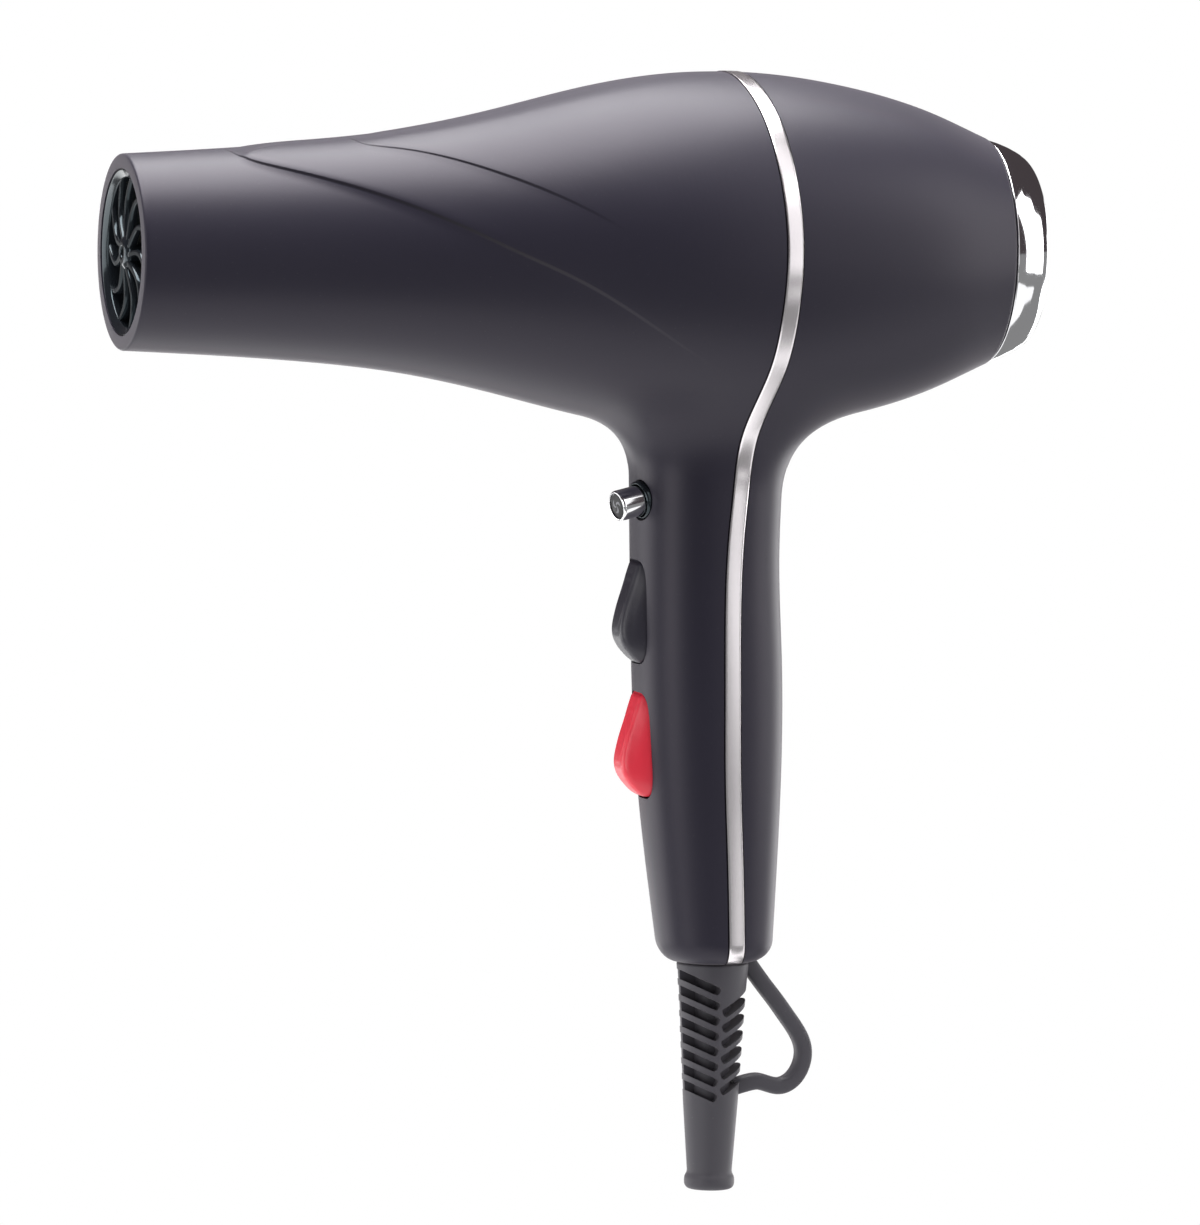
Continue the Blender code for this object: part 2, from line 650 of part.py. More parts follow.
cut(front, on_press_axis(turned("button_hole", [
    (-0.008, 0.0), (-0.008, 0.0053), (0.006, 0.0053), (0.006, 0.0),
], None, 28, "Z", collection=cutters)))
on_press_axis(turned("button_bezel", [
    (-0.0032, 0.0042), (-0.0032, 0.0050), (0.0010, 0.0050), (0.0014, 0.0046), (0.0014, 0.0042),
], GLOSS_BLACK, 20, "Z"))
on_press_axis(turned("cool_shot_button", [
    (-0.0050, 0.0), (-0.0050, 0.0038), (0.0065, 0.0038), (0.0069, 0.0034), (0.0069, 0.0031),
    (0.0063, 0.0031), (0.0063, 0.0),
], CHROME, 20, "Z"))
on_press_axis(turned("cool_shot_face", [
    (0.0066, 0.0), (0.0066, 0.0028), (0.0069, 0.0028), (0.0070, 0.0),
], GLOSS_BLACK, 20, "Z"))


def coil_spring(low, high, radius, wire, turns):
    """The wire of a compression spring from low to high along the button's axis."""
    angle = even(0, 2 * math.pi * turns, 8 * turns + 1)
    local = np.stack([radius * np.cos(angle), radius * np.sin(angle), even(low, high, len(angle))], -1)
    place = Matrix.Translation(BUTTON) @ PRESS.to_track_quat("Z", "Y").to_matrix().to_4x4()
    return tube("cool_shot_spring", [place @ Vector(point) for point in local], wire, STEEL)


coil_spring(-0.0088, -0.0056, 0.0026, 0.00025, 3)
switch = block("cool_shot_switch", (0.0090, 0.0066, 0.0052), (0, 0, 0), BLACK_PLASTIC, edge=0.0003)
on_press_axis(switch)
switch.matrix_world = switch.matrix_world @ Matrix.Translation((0, 0, -0.0120))

# ---------------------------------------------------------------- rockers, pins and switches
PIVOT_X = -0.0115
ROCKER_ARC = 0.0143  # radius of the rockers' ends about their pins
CAP_IN = -0.0130  # x of the underside of a rocker's cap
CAP_HALF = 0.0060  # half the width of a cap where it leaves the handle
CARRIER_X = -0.0075  # front of the plate that carries the switches


def end_arc(radius, first, last, count, pivot_x, centre_z):
    """Points (x, z) of a rocker's top end, on a circle about its pin, from inside to outside."""
    turn = even(first, last, count)
    return [(pivot_x - radius * math.sin(t), centre_z + radius * math.cos(t)) for t in turn]


def rocker(name, pivot_x, centre_z, profile, material):
    """A rocker cap: an outline of (x, z, half width) points ahead of its pin, joined across the handle,
    with its two ends rounded about the pin and a stem for the switch behind it."""
    end = [(x, z, CAP_HALF) for x, z in end_arc(ROCKER_ARC, 0.12, 0.48, 4, 0, 0)]
    inside = [(CAP_IN - PIVOT_X, 0.0128, CAP_HALF)]
    outline = inside + end + [(x - PIVOT_X, z, w) for x, z, w in profile]
    outline += [(x, -z, w) for x, z, w in reversed(inside + end)]

    def build(bm):
        sides = [[bm.verts.new((pivot_x + x, k * w, centre_z + z)) for x, z, w in outline] for k in (-1, 1)]
        for i in range(len(outline)):
            bm.faces.new((sides[0][i - 1], sides[0][i], sides[1][i], sides[1][i - 1]))
        for side in sides:
            bmesh.ops.triangulate(bm, faces=[bm.faces.new(side)])
    cap = link(name, mesh_of(name, build), material)
    start, stop = (pivot_x, -0.02, centre_z), (pivot_x, 0.02, centre_z)
    add(cap, block(name + "_stem", (0.0056, 0.0096, 0.0044), (pivot_x - 0.0005, 0, centre_z), None, cutters))
    cut(cap, rod(name + "_bore", 0.0012, start, stop, None, 16, cutters))
    rod(name + "_pin", 0.0009, (pivot_x, -0.0084, centre_z), (pivot_x, 0.0084, centre_z), STEEL, 16)
    arc = end_arc(ROCKER_ARC + 0.0004, 0.0, 0.62, 6, 0, 0)
    opening = arc + [(-0.016, arc[-1][1]), (-0.016, -arc[-1][1])] + [(x, -z) for x, z in reversed(arc)]
    window = plate(name + "_window", opening, CAP_HALF + 0.0004, None, (pivot_x, 0, centre_z), cutters)
    cut(front, window)
    return cap


HEAT_Z, SPEED_Z = 0.0222, -0.0103
SPEED_X = PIVOT_X + 0.0010  # the handle's front leans back towards the foot
thumb = [
    (-0.0195, 0.0108, 0.0048), (-0.0201, 0.0092, 0.0047), (-0.0209, 0.0062, 0.0046),
    (-0.0222, 0.0018, 0.0046), (-0.0231, -0.0014, 0.0047), (-0.0235, -0.0044, 0.0049),
    (-0.0232, -0.0066, 0.0051), (-0.0220, -0.0090, 0.0052), (-0.0200, -0.0112, 0.0052),
]
rocker("heat_rocker", PIVOT_X, HEAT_Z, thumb, BLACK_PLASTIC)
rocker("speed_rocker", SPEED_X, SPEED_Z, thumb, RED_PLASTIC)

carrier = block("switch_carrier", (0.0014, 0.0200, 0.0640), (CARRIER_X + 0.0007, 0, 0.0055), BLACK_PLASTIC)
for pivot_x, centre_z in ((PIVOT_X, HEAT_Z), (SPEED_X, SPEED_Z)):
    for side in (-1, 1):
        add(carrier, block("ear", (CARRIER_X + 0.0019 - pivot_x, 0.0009, 0.0034),
                           ((CARRIER_X - 0.0008 + pivot_x) / 2, side * 0.0079, centre_z), None, cutters))
    cut(carrier, rod("ear_bore", 0.00096, (pivot_x, -0.02, centre_z), (pivot_x, 0.02, centre_z), None, 20,
                     cutters))
for name, centre_z in (("heat_switch", HEAT_Z), ("speed_switch", SPEED_Z)):
    block(name, (0.0100, 0.0120, 0.0190), (CARRIER_X + 0.0067, 0, centre_z), BLACK_PLASTIC, edge=0.0004)
block("suppression_capacitor", (0.0060, 0.0120, 0.0130), (0.0085, 0, 0.0200), BLUE_PLASTIC, edge=0.0006)

# ---------------------------------------------------------------- housing screws
def screw(name, start, length):
    """A pan-head screw along -X, with a cross recess left out, whose head's top is at start."""
    return turned(name, [
        (0.0, 0.0), (0.0, 0.0018), (-0.0006, 0.0026), (-0.0016, 0.0026), (-0.0016, 0.0013),
        (-length, 0.0013),
        (-length - 0.0012, 0.0),
    ], STEEL, 20, "X", start)


def drill(target, name, radius, x_from, x_to, z):
    return cut(target, rod(name, radius, (x_from, 0, z), (x_to, 0, z), None, 24, cutters))


for label, z, head_x, front_end, rear_end in (
    ("upper", 0.0414, 0.0118, -0.0176, 0.0163),
    ("lower", -0.0400, 0.0118, -0.0130, 0.0166),
):
    part = float(parting_x(np.array(z)))
    add(rear, rod("rear_boss_" + label, 0.0042, (part + 0.0026, 0, z), (rear_end, 0, z), None, 20, cutters))
    drill(rear, "head_pocket_" + label, 0.0031, head_x - 0.0022, head_x + 0.03, z)
    drill(rear, "screw_way_" + label, 0.0017, part, head_x, z)
    add(front, rod("front_boss_" + label, 0.0030, (front_end, 0, z), (part - 0.0026, 0, z), None, 24,
                   cutters))
    drill(front, "screw_seat_" + label, 0.0016, head_x - 0.0165, head_x, z)
    screw("housing_screw_" + label, (head_x, 0, z), 0.0140)

# ---------------------------------------------------------------- cord clamp, leads, strain relief, loop
clamp = block("cord_clamp", (0.0030, 0.0150, 0.0060), (0.0085, 0, -0.0500), BLACK_PLASTIC, edge=0.0004)
for label, side in (("left", -1), ("right", 1)):
    spot = (0.0112, side * 0.0052, -0.0500)
    cut(clamp, rod("clamp_hole_" + label, 0.0013, (0.0, spot[1], spot[2]), (0.02, spot[1], spot[2]), None, 16,
                   cutters))
    turned("clamp_screw_" + label, [
        (0.0, 0.0), (0.0, 0.0019), (-0.0009, 0.0019), (-0.0009, 0.0010), (-0.0090, 0.0010), (-0.0098, 0.0),
    ], STEEL, 16, "X", spot)
for name, y, end_z, material in (
    ("lead_live", -0.0022, SPEED_Z - 0.0115, LEAD_BROWN),
    ("lead_neutral", 0.0022, SPEED_Z - 0.0115, LEAD_BLUE),
):
    tube(name, smooth_line([
        (0.0040, y, -0.0575), (0.0035, y, -0.0480), (0.0010, y * 1.6, -0.0360), (-0.0010, y * 1.6, -0.0290),
        (-0.0010, y * 1.4, end_z),
    ], 9), 0.0009, material)

RELIEF_X = FOOT_X + 0.0003
RELIEF_TOP = FOOT_Z - GAP
RELIEF_OUTSIDE = [
    (RELIEF_TOP, 0.0089), (-0.0720, 0.0083), (-0.0880, 0.0074), (-0.1000, 0.0067), (-0.1152, 0.0055),
    (-0.1168, 0.0061), (-0.1192, 0.0061), (-0.1207, 0.0053),
]
CORE_R = 0.0045  # the tube round the cord that the slots stop at
relief = turned("strain_relief", [
    (-0.0582, 0.0036), (-0.0582, 0.0084), (-0.0604, 0.0084), (-0.0604, 0.0065), (RELIEF_TOP, 0.0065),
] + RELIEF_OUTSIDE + [(-0.1207, 0.0036)], RUBBER, 20, "Z", (RELIEF_X, 0, 0))


def slot_cutters(name, side, count, first_z, pitch, slope, reach, spans):
    """A row of sloping slots through the strain relief round its core. spans lists the (centre, width) of
    the boxes that cut each slot, across the middle plane."""
    core = rod(name + "_core", CORE_R, (RELIEF_X, 0, -0.13), (RELIEF_X, 0, -0.05), None, 16, cutters)

    def build(bm):
        for i in range(count):
            for centre, wide in spans:
                spot = (RELIEF_X + side * (0.0011 + reach) / 2, centre, first_z - i * pitch)
                size = Matrix.Diagonal(((reach - 0.0011) / math.cos(slope), wide, 0.0021, 1))
                place = Matrix.Translation(spot) @ Matrix.Rotation(slope, 4, "Y")
                bmesh.ops.create_cube(bm, size=1, matrix=place @ size)
    slots = link(name, mesh_of(name, build), None, cutters)
    cut(slots, core)
    return cut(relief, slots)


# The front slots leave a thin web in the middle plane, and the rear slots go right across.
slot_cutters("front_slots", -1, 8, -0.0689, 0.00372, 0.40, 0.0100, [(-0.0065, 0.0110), (0.0065, 0.0110)])
slot_cutters("rear_slots", 1, 6, -0.0738, 0.00395, -0.47, 0.0110, [(0, 0.0240)])

LOOP = [
    (0.0120, -0.0654), (0.0155, -0.0701), (0.0187, -0.0741), (0.0219, -0.0784), (0.0252, -0.0831),
    (0.0265, -0.0874), (0.0257, -0.0914), (0.0234, -0.0945), (0.0206, -0.0958), (0.0179, -0.0955),
    (0.0154, -0.0946), (0.0129, -0.0945), (0.0098, -0.0955),
]


def band(name, line, thick, half_width, material):
    """A flat band along a line of (x, z) points in the middle plane."""
    path = smooth_line(line, 19)
    ahead = np.gradient(path, axis=0)
    side = np.stack([-ahead[:, 1], ahead[:, 0]], -1) / np.hypot(*ahead.T)[:, None] * thick / 2
    outline = [tuple(p) for p in path + side] + [tuple(p) for p in (path - side)[::-1]]
    return plate(name, outline, half_width, material, (0, 0, 0), edge=0.0008)


loop = band("hang_loop", LOOP, 0.0039, 0.0023, RUBBER)
cut(loop, turned("relief_clearance", [(-0.050, 0.0)] + [(z, r + GAP) for z, r in RELIEF_OUTSIDE[:5]] + [
    (RELIEF_OUTSIDE[4][0], 0.0)], None, 20, "Z", (RELIEF_X, 0, 0), cutters))
cut(loop, block("foot_clearance", (0.06, 0.03, 0.02), (0.010, 0, RELIEF_TOP + 0.01), None, cutters))
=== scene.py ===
"""Looks of the salon hair dryer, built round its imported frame. Metres, +Z up the handle; the barrel lies
along X with its outlet towards -X, and the origin is the middle of the grip."""

import math

import bmesh
import bpy
import numpy as np
from mathutils import Matrix, Vector


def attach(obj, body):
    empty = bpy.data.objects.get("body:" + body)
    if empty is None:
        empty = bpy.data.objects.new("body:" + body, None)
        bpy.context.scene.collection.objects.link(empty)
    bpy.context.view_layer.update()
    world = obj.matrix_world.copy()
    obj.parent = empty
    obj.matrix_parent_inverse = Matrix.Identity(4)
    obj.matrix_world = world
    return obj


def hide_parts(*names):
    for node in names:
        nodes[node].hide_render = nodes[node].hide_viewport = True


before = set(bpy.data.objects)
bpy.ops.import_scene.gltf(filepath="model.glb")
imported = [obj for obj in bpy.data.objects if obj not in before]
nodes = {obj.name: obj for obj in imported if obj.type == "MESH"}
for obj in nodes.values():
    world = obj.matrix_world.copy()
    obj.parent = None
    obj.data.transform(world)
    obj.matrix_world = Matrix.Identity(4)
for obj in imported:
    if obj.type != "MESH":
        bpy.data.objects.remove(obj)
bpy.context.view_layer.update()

# ---------------------------------------------------------------- camera
# A long lens a little above the barrel and ahead of the grip, rolled slightly, as a product is shot on a
# sweep. It looks at a point a few centimetres ahead of the grip.
CAMERA_AZIMUTH = math.radians(-16.8)
CAMERA_ELEVATION = math.radians(5)
CAMERA_ROLL = math.radians(0.85)
CAMERA_DISTANCE = 2.638
CAMERA_LENS = 316.4
AIM_AHEAD, AIM_UP = 0.0260, 0.0214

back = Vector((
    math.sin(CAMERA_AZIMUTH) * math.cos(CAMERA_ELEVATION),
    -math.cos(CAMERA_AZIMUTH) * math.cos(CAMERA_ELEVATION),
    math.sin(CAMERA_ELEVATION),
))
level = Vector((math.cos(CAMERA_AZIMUTH), math.sin(CAMERA_AZIMUTH), 0))
across = level * math.cos(CAMERA_ROLL) + back.cross(level) * math.sin(CAMERA_ROLL)
upright = back.cross(across)


def placed(name, data):
    """A new object in the scene that holds this mesh, lamp or camera."""
    made = bpy.data.objects.new(name, data)
    bpy.context.scene.collection.objects.link(made)
    return made


camera = placed("camera", bpy.data.cameras.new("camera"))
camera.data.lens = CAMERA_LENS
camera.data.clip_end = 200
camera.matrix_world = Matrix((across, upright, back)).transposed().to_4x4()
camera.location = back * CAMERA_DISTANCE - across * AIM_AHEAD + upright * AIM_UP
bpy.context.scene.camera = camera
bpy.context.scene.view_settings.view_transform = "Standard"

# ---------------------------------------------------------------- studio
# A white sweep that the camera sees as plain white, a dim warm room round it, and softboxes: a broad one
# overhead, a tall one ahead on the right in three parts, one at each side, a light table, and white boards
# behind that catch the outline.
FLOOR_Z = -0.62
FLOOR_HALF = 80.0
FLOOR_GLOW = 0.25
ROOM_GLOW = 0.06
ROOM_TINT = (1.0, 0.82, 0.88, 1)
SOFTBOXES = {  # centre, aim, width, height, radiance
    "overhead": ((-0.12, 0.12, 1.00), (0.0, 0.0, 0.08), 1.30, 0.80, 9.0),
    "upper_right": ((0.30, -0.46, 1.10), (0.0, 0.0, 0.10), 0.42, 1.15, 1.2),
    "front_right": ((0.69, -1.33, 0.520), (0.0, 0.0, 0.05), 0.56, 1.52, 1.20),
    "low_right": ((0.65, -1.17, -0.42), (0.0, 0.0, -0.03), 0.36, 0.18, 0.9),
    "front_left": ((-1.35, -0.80, 0.05), (0.0, 0.0, 0.05), 0.80, 1.00, 3.4),
    "right_card": ((1.24, -0.48, 0.45), (0.05, 0.0, 0.10), 0.70, 1.50, 3.4),
    "light_table": ((-0.20, 0.05, -0.42), (-0.15, 0.05, 0.0), 1.20, 0.80, 1.15),
    "table_corner": ((0.50, -0.25, -0.44), (0.1, 0.0, 0.05), 0.40, 0.60, 0.9),
    "back_left": ((-1.35, 0.75, -0.20), (0.0, 0.0, 0.0), 1.00, 1.00, 2.8),
    "back_right": ((1.35, 0.70, -0.20), (0.0, 0.0, 0.0), 1.10, 1.00, 3.0),
    "back_low": ((-0.10, 1.60, -0.68), (0.0, 0.0, 0.0), 3.00, 0.80, 2.0),
}


def softbox(name, centre, aim, width, height, radiance):
    """An area light of this radiance: its power is the radiance times pi times its area."""
    light = bpy.data.lights.new(name, "AREA")
    light.shape = "RECTANGLE"
    light.size, light.size_y = width, height
    light.energy = radiance * math.pi * width * height
    lamp = placed(name, light)
    lamp.location = centre
    lamp.rotation_euler = (Vector(centre) - Vector(aim)).to_track_quat("Z", "Y").to_euler()
    lamp.visible_camera = False


for name, setting in SOFTBOXES.items():
    softbox(name, *setting)


def white_to_camera(tree, glow, tint, target):
    """Emission that a straight look sees as white, and that lights everything else as a dim glow."""
    path = tree.nodes.new("ShaderNodeLightPath")
    seen, lit, mix = (tree.nodes.new(kind) for kind in (
        "ShaderNodeEmission", "ShaderNodeEmission", "ShaderNodeMixShader"))
    seen.inputs["Strength"].default_value = 1.0
    lit.inputs["Strength"].default_value = glow
    lit.inputs["Color"].default_value = tint
    tree.links.new(path.outputs["Is Camera Ray"], mix.inputs[0])
    tree.links.new(lit.outputs[0], mix.inputs[1])
    tree.links.new(seen.outputs[0], mix.inputs[2])
    tree.links.new(mix.outputs[0], target)


world = bpy.data.worlds.new("studio")
bpy.context.scene.world = world
world.use_nodes = True
world.node_tree.nodes.clear()
sky = world.node_tree.nodes.new("ShaderNodeOutputWorld")
white_to_camera(world.node_tree, ROOM_GLOW, ROOM_TINT, sky.inputs["Surface"])

floor_mesh = bpy.data.meshes.new("floor")
corners = [(x * FLOOR_HALF, y * FLOOR_HALF, FLOOR_Z) for x, y in ((-1, -1), (1, -1), (1, 1), (-1, 1))]
floor_mesh.from_pydata(corners, [], [(0, 1, 2, 3)])
floor = placed("floor", floor_mesh)
sweep = bpy.data.materials.new("white_sweep")
sweep.use_nodes = True
sweep.node_tree.nodes.clear()
floor_out = sweep.node_tree.nodes.new("ShaderNodeOutputMaterial")
white_to_camera(sweep.node_tree, FLOOR_GLOW, (1, 1, 1, 1), floor_out.inputs["Surface"])
floor_mesh.materials.append(sweep)


# ---------------------------------------------------------------- housings
# Two injection-moulded shells with a soft-touch lacquer. They meet in a plane that winds down the barrel
# and handle, where the silver band fills the joint. Two swept creases run back along the front shell.
AXIS_Z = 0.110
OUTLET_X = -0.149
REAR_X = 0.0690
WALL = 0.0022
LIP, LIP_X, LIP_STEP = 0.0013, -0.1462, 0.0010  # the thicker wall at the outlet, and where it ends
GAP = 0.0003
BAND_HALF = 0.0020
RIM_ROUND = 0.0006
BARREL = [  # (x, radius)
    (-0.149, 0.0237), (-0.128, 0.0248), (-0.104, 0.0265), (-0.080, 0.0293), (-0.055, 0.0346),
    (-0.032, 0.0403), (-0.006, 0.0438), (0.014, 0.0433), (0.036, 0.0397), (0.056, 0.0336),
    (0.0694, 0.0277), (0.0794, 0.0237),
]
HANDLE = [  # (z, middle x, half depth, half width)
    (-0.0643, 0.0032, 0.0138, 0.0128), (-0.049, 0.0024, 0.0152, 0.0140),
    (-0.0245, 0.0012, 0.0172, 0.0157), (0.010, -0.0001, 0.0183, 0.0166),
    (0.034, -0.0010, 0.0181, 0.0168), (0.060, -0.0010, 0.0187, 0.0174),
    (0.100, -0.0010, 0.0192, 0.0180),
]
PARTING = [  # (z, x)
    (0.1535, 0.0039), (0.1464, 0.0052), (0.1360, 0.0062), (0.1220, 0.0070), (0.1100, 0.0072),
    (0.0980, 0.0068), (0.0830, 0.0060), (0.0730, 0.0046), (0.0665, 0.0037), (0.0550, 0.0030),
    (0.0430, 0.0020), (0.0236, 0.0014), (0.0040, 0.0017), (-0.0206, 0.0024), (-0.0403, 0.0037),
    (-0.0643, 0.0051),
]
PARTING_TURN = 0.74 * math.pi  # how far round the barrel the line is evenly spaced
SECTION_POWER = 2.3
FILLET_FRONT, FILLET_REAR, FILLET_SPAN = 0.013, 0.017, 0.02
HANDLE_TOP = 0.088
FOOT_Z, FOOT_ROUND, FOOT_HOLE, FOOT_X = -0.0643, 0.0053, 0.0091, 0.0024
FRONT_CORNER_X, REAR_CORNER_X, RING_Z = -0.0440, 0.0400, 0.0480
HUB_DROP = 0.008  # of the middle of the rays that meet the fillet's outline
# The creases: (x, degrees down from the top), from the hook at the top to where the crease dies out.
CREASES = {
    "crease_low": [
        (-0.1250, 0), (-0.1237, 11), (-0.1218, 23), (-0.1160, 34.5), (-0.0980, 52.3), (-0.0774, 71.4),
        (-0.0594, 87.5), (-0.0424, 99.7), (-0.0223, 116.3), (-0.0042, 131.8),
    ],
    "crease_high": [
        (-0.0940, 0), (-0.0931, 11), (-0.0902, 22.5), (-0.0814, 31.5), (-0.0642, 50.6), (-0.0468, 67.9),
        (-0.0310, 82.9),
    ],
}
CREASE_RAISE = {"crease_low": 0.0008, "crease_high": 0.0004}
CREASE_STEP = 0.0030  # width of the step at the side
CREASE_TOP_STEP = 0.0120  # width of the step at the top of the barrel
CREASE_REACH = 0.018  # how far the raised side takes to fall back


def spline(points):
    """A natural cubic curve through rows of (t, value, ...): between two rows, the cubic whose second
    slope runs straight from one row's to the next, with all of them found by one linear solve."""
    table = np.array(sorted(points), float)
    t, values = table[:, 0], table[:, 1:]
    step = np.diff(t)
    slope = np.diff(values, axis=0) / step[:, None]
    matrix = np.eye(len(t))
    inner = np.arange(1, len(t) - 1)
    matrix[inner, inner - 1] = step[:-1]
    matrix[inner, inner] = 2 * (step[:-1] + step[1:])
    matrix[inner, inner + 1] = step[1:]
    right = np.zeros_like(values)
    right[1:-1] = 6 * np.diff(slope, axis=0)
    bend = np.linalg.solve(matrix, right)

    def value(at):
        at = np.asarray(at, float)
        i = np.clip(np.searchsorted(t, at) - 1, 0, len(t) - 2)
        a, b = (t[i + 1] - at)[..., None], (at - t[i])[..., None]
        h = step[i][..., None]
        return (
            (bend[i] * a**3 + bend[i + 1] * b**3) / (6 * h)
            + (values[i] / h - bend[i] * h / 6) * a
            + (values[i + 1] / h - bend[i + 1] * h / 6) * b
        )

    return value


barrel_curve, handle_curve, parting_curve = spline(BARREL), spline(HANDLE), spline(PARTING)


def barrel_radius(x):
    return barrel_curve(x)[..., 0]


def parting_x(z):
    return parting_curve(z)[..., 0]


def smooth(t):
    """0 below 0, 1 above 1, and the cubic 3tt - 2ttt between."""
    t = np.clip(t, 0, 1)
    return t * t * (3 - 2 * t)


def skin(x, y, z):
    """Nearly the signed distance to the shells' outer face, below 0 inside. The barrel is a circle whose
    radius follows a curve along X, the handle is a superellipse that shrinks in a quarter circle at its
    foot, and the two are joined by the smaller of both less a quarter of the squared overlap."""
    barrel = np.hypot(y, z - AXIS_Z) - barrel_radius(x)
    middle, depth, width = np.moveaxis(handle_curve(np.clip(z, FOOT_Z, HANDLE_TOP)), -1, 0)
    foot = np.clip((FOOT_Z + FOOT_ROUND - z) / FOOT_ROUND, 0, 1)
    full = np.sqrt(1 - foot**2)
    depth = FOOT_HOLE + (depth - FOOT_HOLE) * full
    width = FOOT_HOLE + (width - FOOT_HOLE) * full
    middle = FOOT_X + (middle - FOOT_X) * full
    power = 2 + (SECTION_POWER - 2) * full
    reach = (np.abs((x - middle) / depth) ** power + np.abs(y / width) ** power) ** (1 / power)
    handle = np.maximum((reach - 1) * np.minimum(depth, width), z - HANDLE_TOP)
    share = np.clip(x / FILLET_SPAN + 0.5, 0, 1)
    fillet = FILLET_FRONT + (FILLET_REAR - FILLET_FRONT) * share
    near = np.maximum(fillet - np.abs(barrel - handle), 0) / fillet
    return np.minimum(barrel, handle) - near**2 * fillet / 4


def crossing(function, outside, inside):
    """Where a function that is above 0 at outside and below 0 at inside passes 0, by halving."""
    outside, inside = np.array(outside, float), np.array(inside, float)
    for _ in range(40):
        middle = (outside + inside) / 2
        out = function(middle) > 0
        outside, inside = np.where(out, middle, outside), np.where(out, inside, middle)
    return (outside + inside) / 2


def side_y(x, z, lift=0.0):
    """How far the face that lies lift outside the skin stands from the middle plane at (x, z)."""
    return crossing(lambda y: skin(x, y, z) - lift, np.full(np.shape(x), 0.06), np.zeros(np.shape(x)))


def even(first, last, count):
    return np.linspace(first, last, count)


def hit(base, direction, lift):
    """Points where rays from inside the dryer meet the face that lies lift outside the skin."""
    reach = crossing(
        lambda r: skin(*np.moveaxis(base + r[..., None] * direction, -1, 0)) - lift,
        np.full(base.shape[:-1], 0.075), np.zeros(base.shape[:-1]),
    )
    return base + reach[..., None] * direction


def barrel_rings(x, count, lift):
    """Half circles round the barrel, top to bottom on the +Y side, one for each x."""
    turn = even(0, math.pi, count + 1)[:, None] + 0 * x
    base = np.stack([x + 0 * turn, 0 * turn, AXIS_Z + 0 * turn], -1)
    points = hit(base, np.stack([0 * turn, np.sin(turn), np.cos(turn)], -1), lift)
    points[[0, -1], :, 1] = 0
    return points


def handle_rings(z, side, offset, count, lift):
    """Part rings round the handle from its front or rear edge to the parting line, one row for each z."""
    middle = handle_curve(z)[:, 0]
    end_x = parting_x(z) + offset
    end = np.arctan2(side_y(end_x, z, lift), (end_x - middle) * side)
    turn = even(0, 1, count + 1) * end[:, None]
    base = np.stack([middle[:, None] + 0 * turn, 0 * turn, z[:, None] + 0 * turn], -1)
    points = hit(base, np.stack([side * np.cos(turn), np.sin(turn), 0 * turn], -1), lift)
    points[:, 0, 1] = 0
    return points


def parting_heights(round_barrel, down, lift):
    """Heights down the parting line: evenly round the barrel, then evenly down to the handle's rings."""
    turn = even(0, PARTING_TURN, round_barrel + 1)
    radius = barrel_radius(parting_x(AXIS_Z)) + lift
    heights = AXIS_Z + radius * np.cos(turn)
    return np.append(heights, even(heights[-1], RING_Z, down + 1)[1:])


def foot_heights(count):
    """Heights down the rounded foot, spaced evenly round its quarter circle."""
    return FOOT_Z + FOOT_ROUND * (1 - np.sin(even(0, math.pi / 2, count)))


def edge_line(heights, offset, lift):
    """Points of a face beside the parting line, offset along X, top to bottom."""
    x = parting_x(heights) + offset
    z = heights.copy()
    z[0] = AXIS_Z + barrel_radius(x[0]) + lift
    y = side_y(x, z, lift)
    y[0] = 0
    return np.stack([x, y, z], -1)


def slope_of(points):
    """The skin's gradient, by small steps along the three axes."""
    step = 1e-5
    here = skin(*np.moveaxis(points, -1, 0))
    ahead = [skin(*np.moveaxis(points + move, -1, 0)) for move in np.eye(3) * step]
    return np.stack([(there - here) / step for there in ahead], -1)


def onto_skin(points, lift):
    """Moves points down the gradient to the nearest place on the face that lies lift outside the skin."""
    for _ in range(12):
        here = skin(*np.moveaxis(points, -1, 0)) - lift
        slope = slope_of(points)
        points = points - 0.9 * (here / (slope**2).sum(-1))[..., None] * slope
    return points


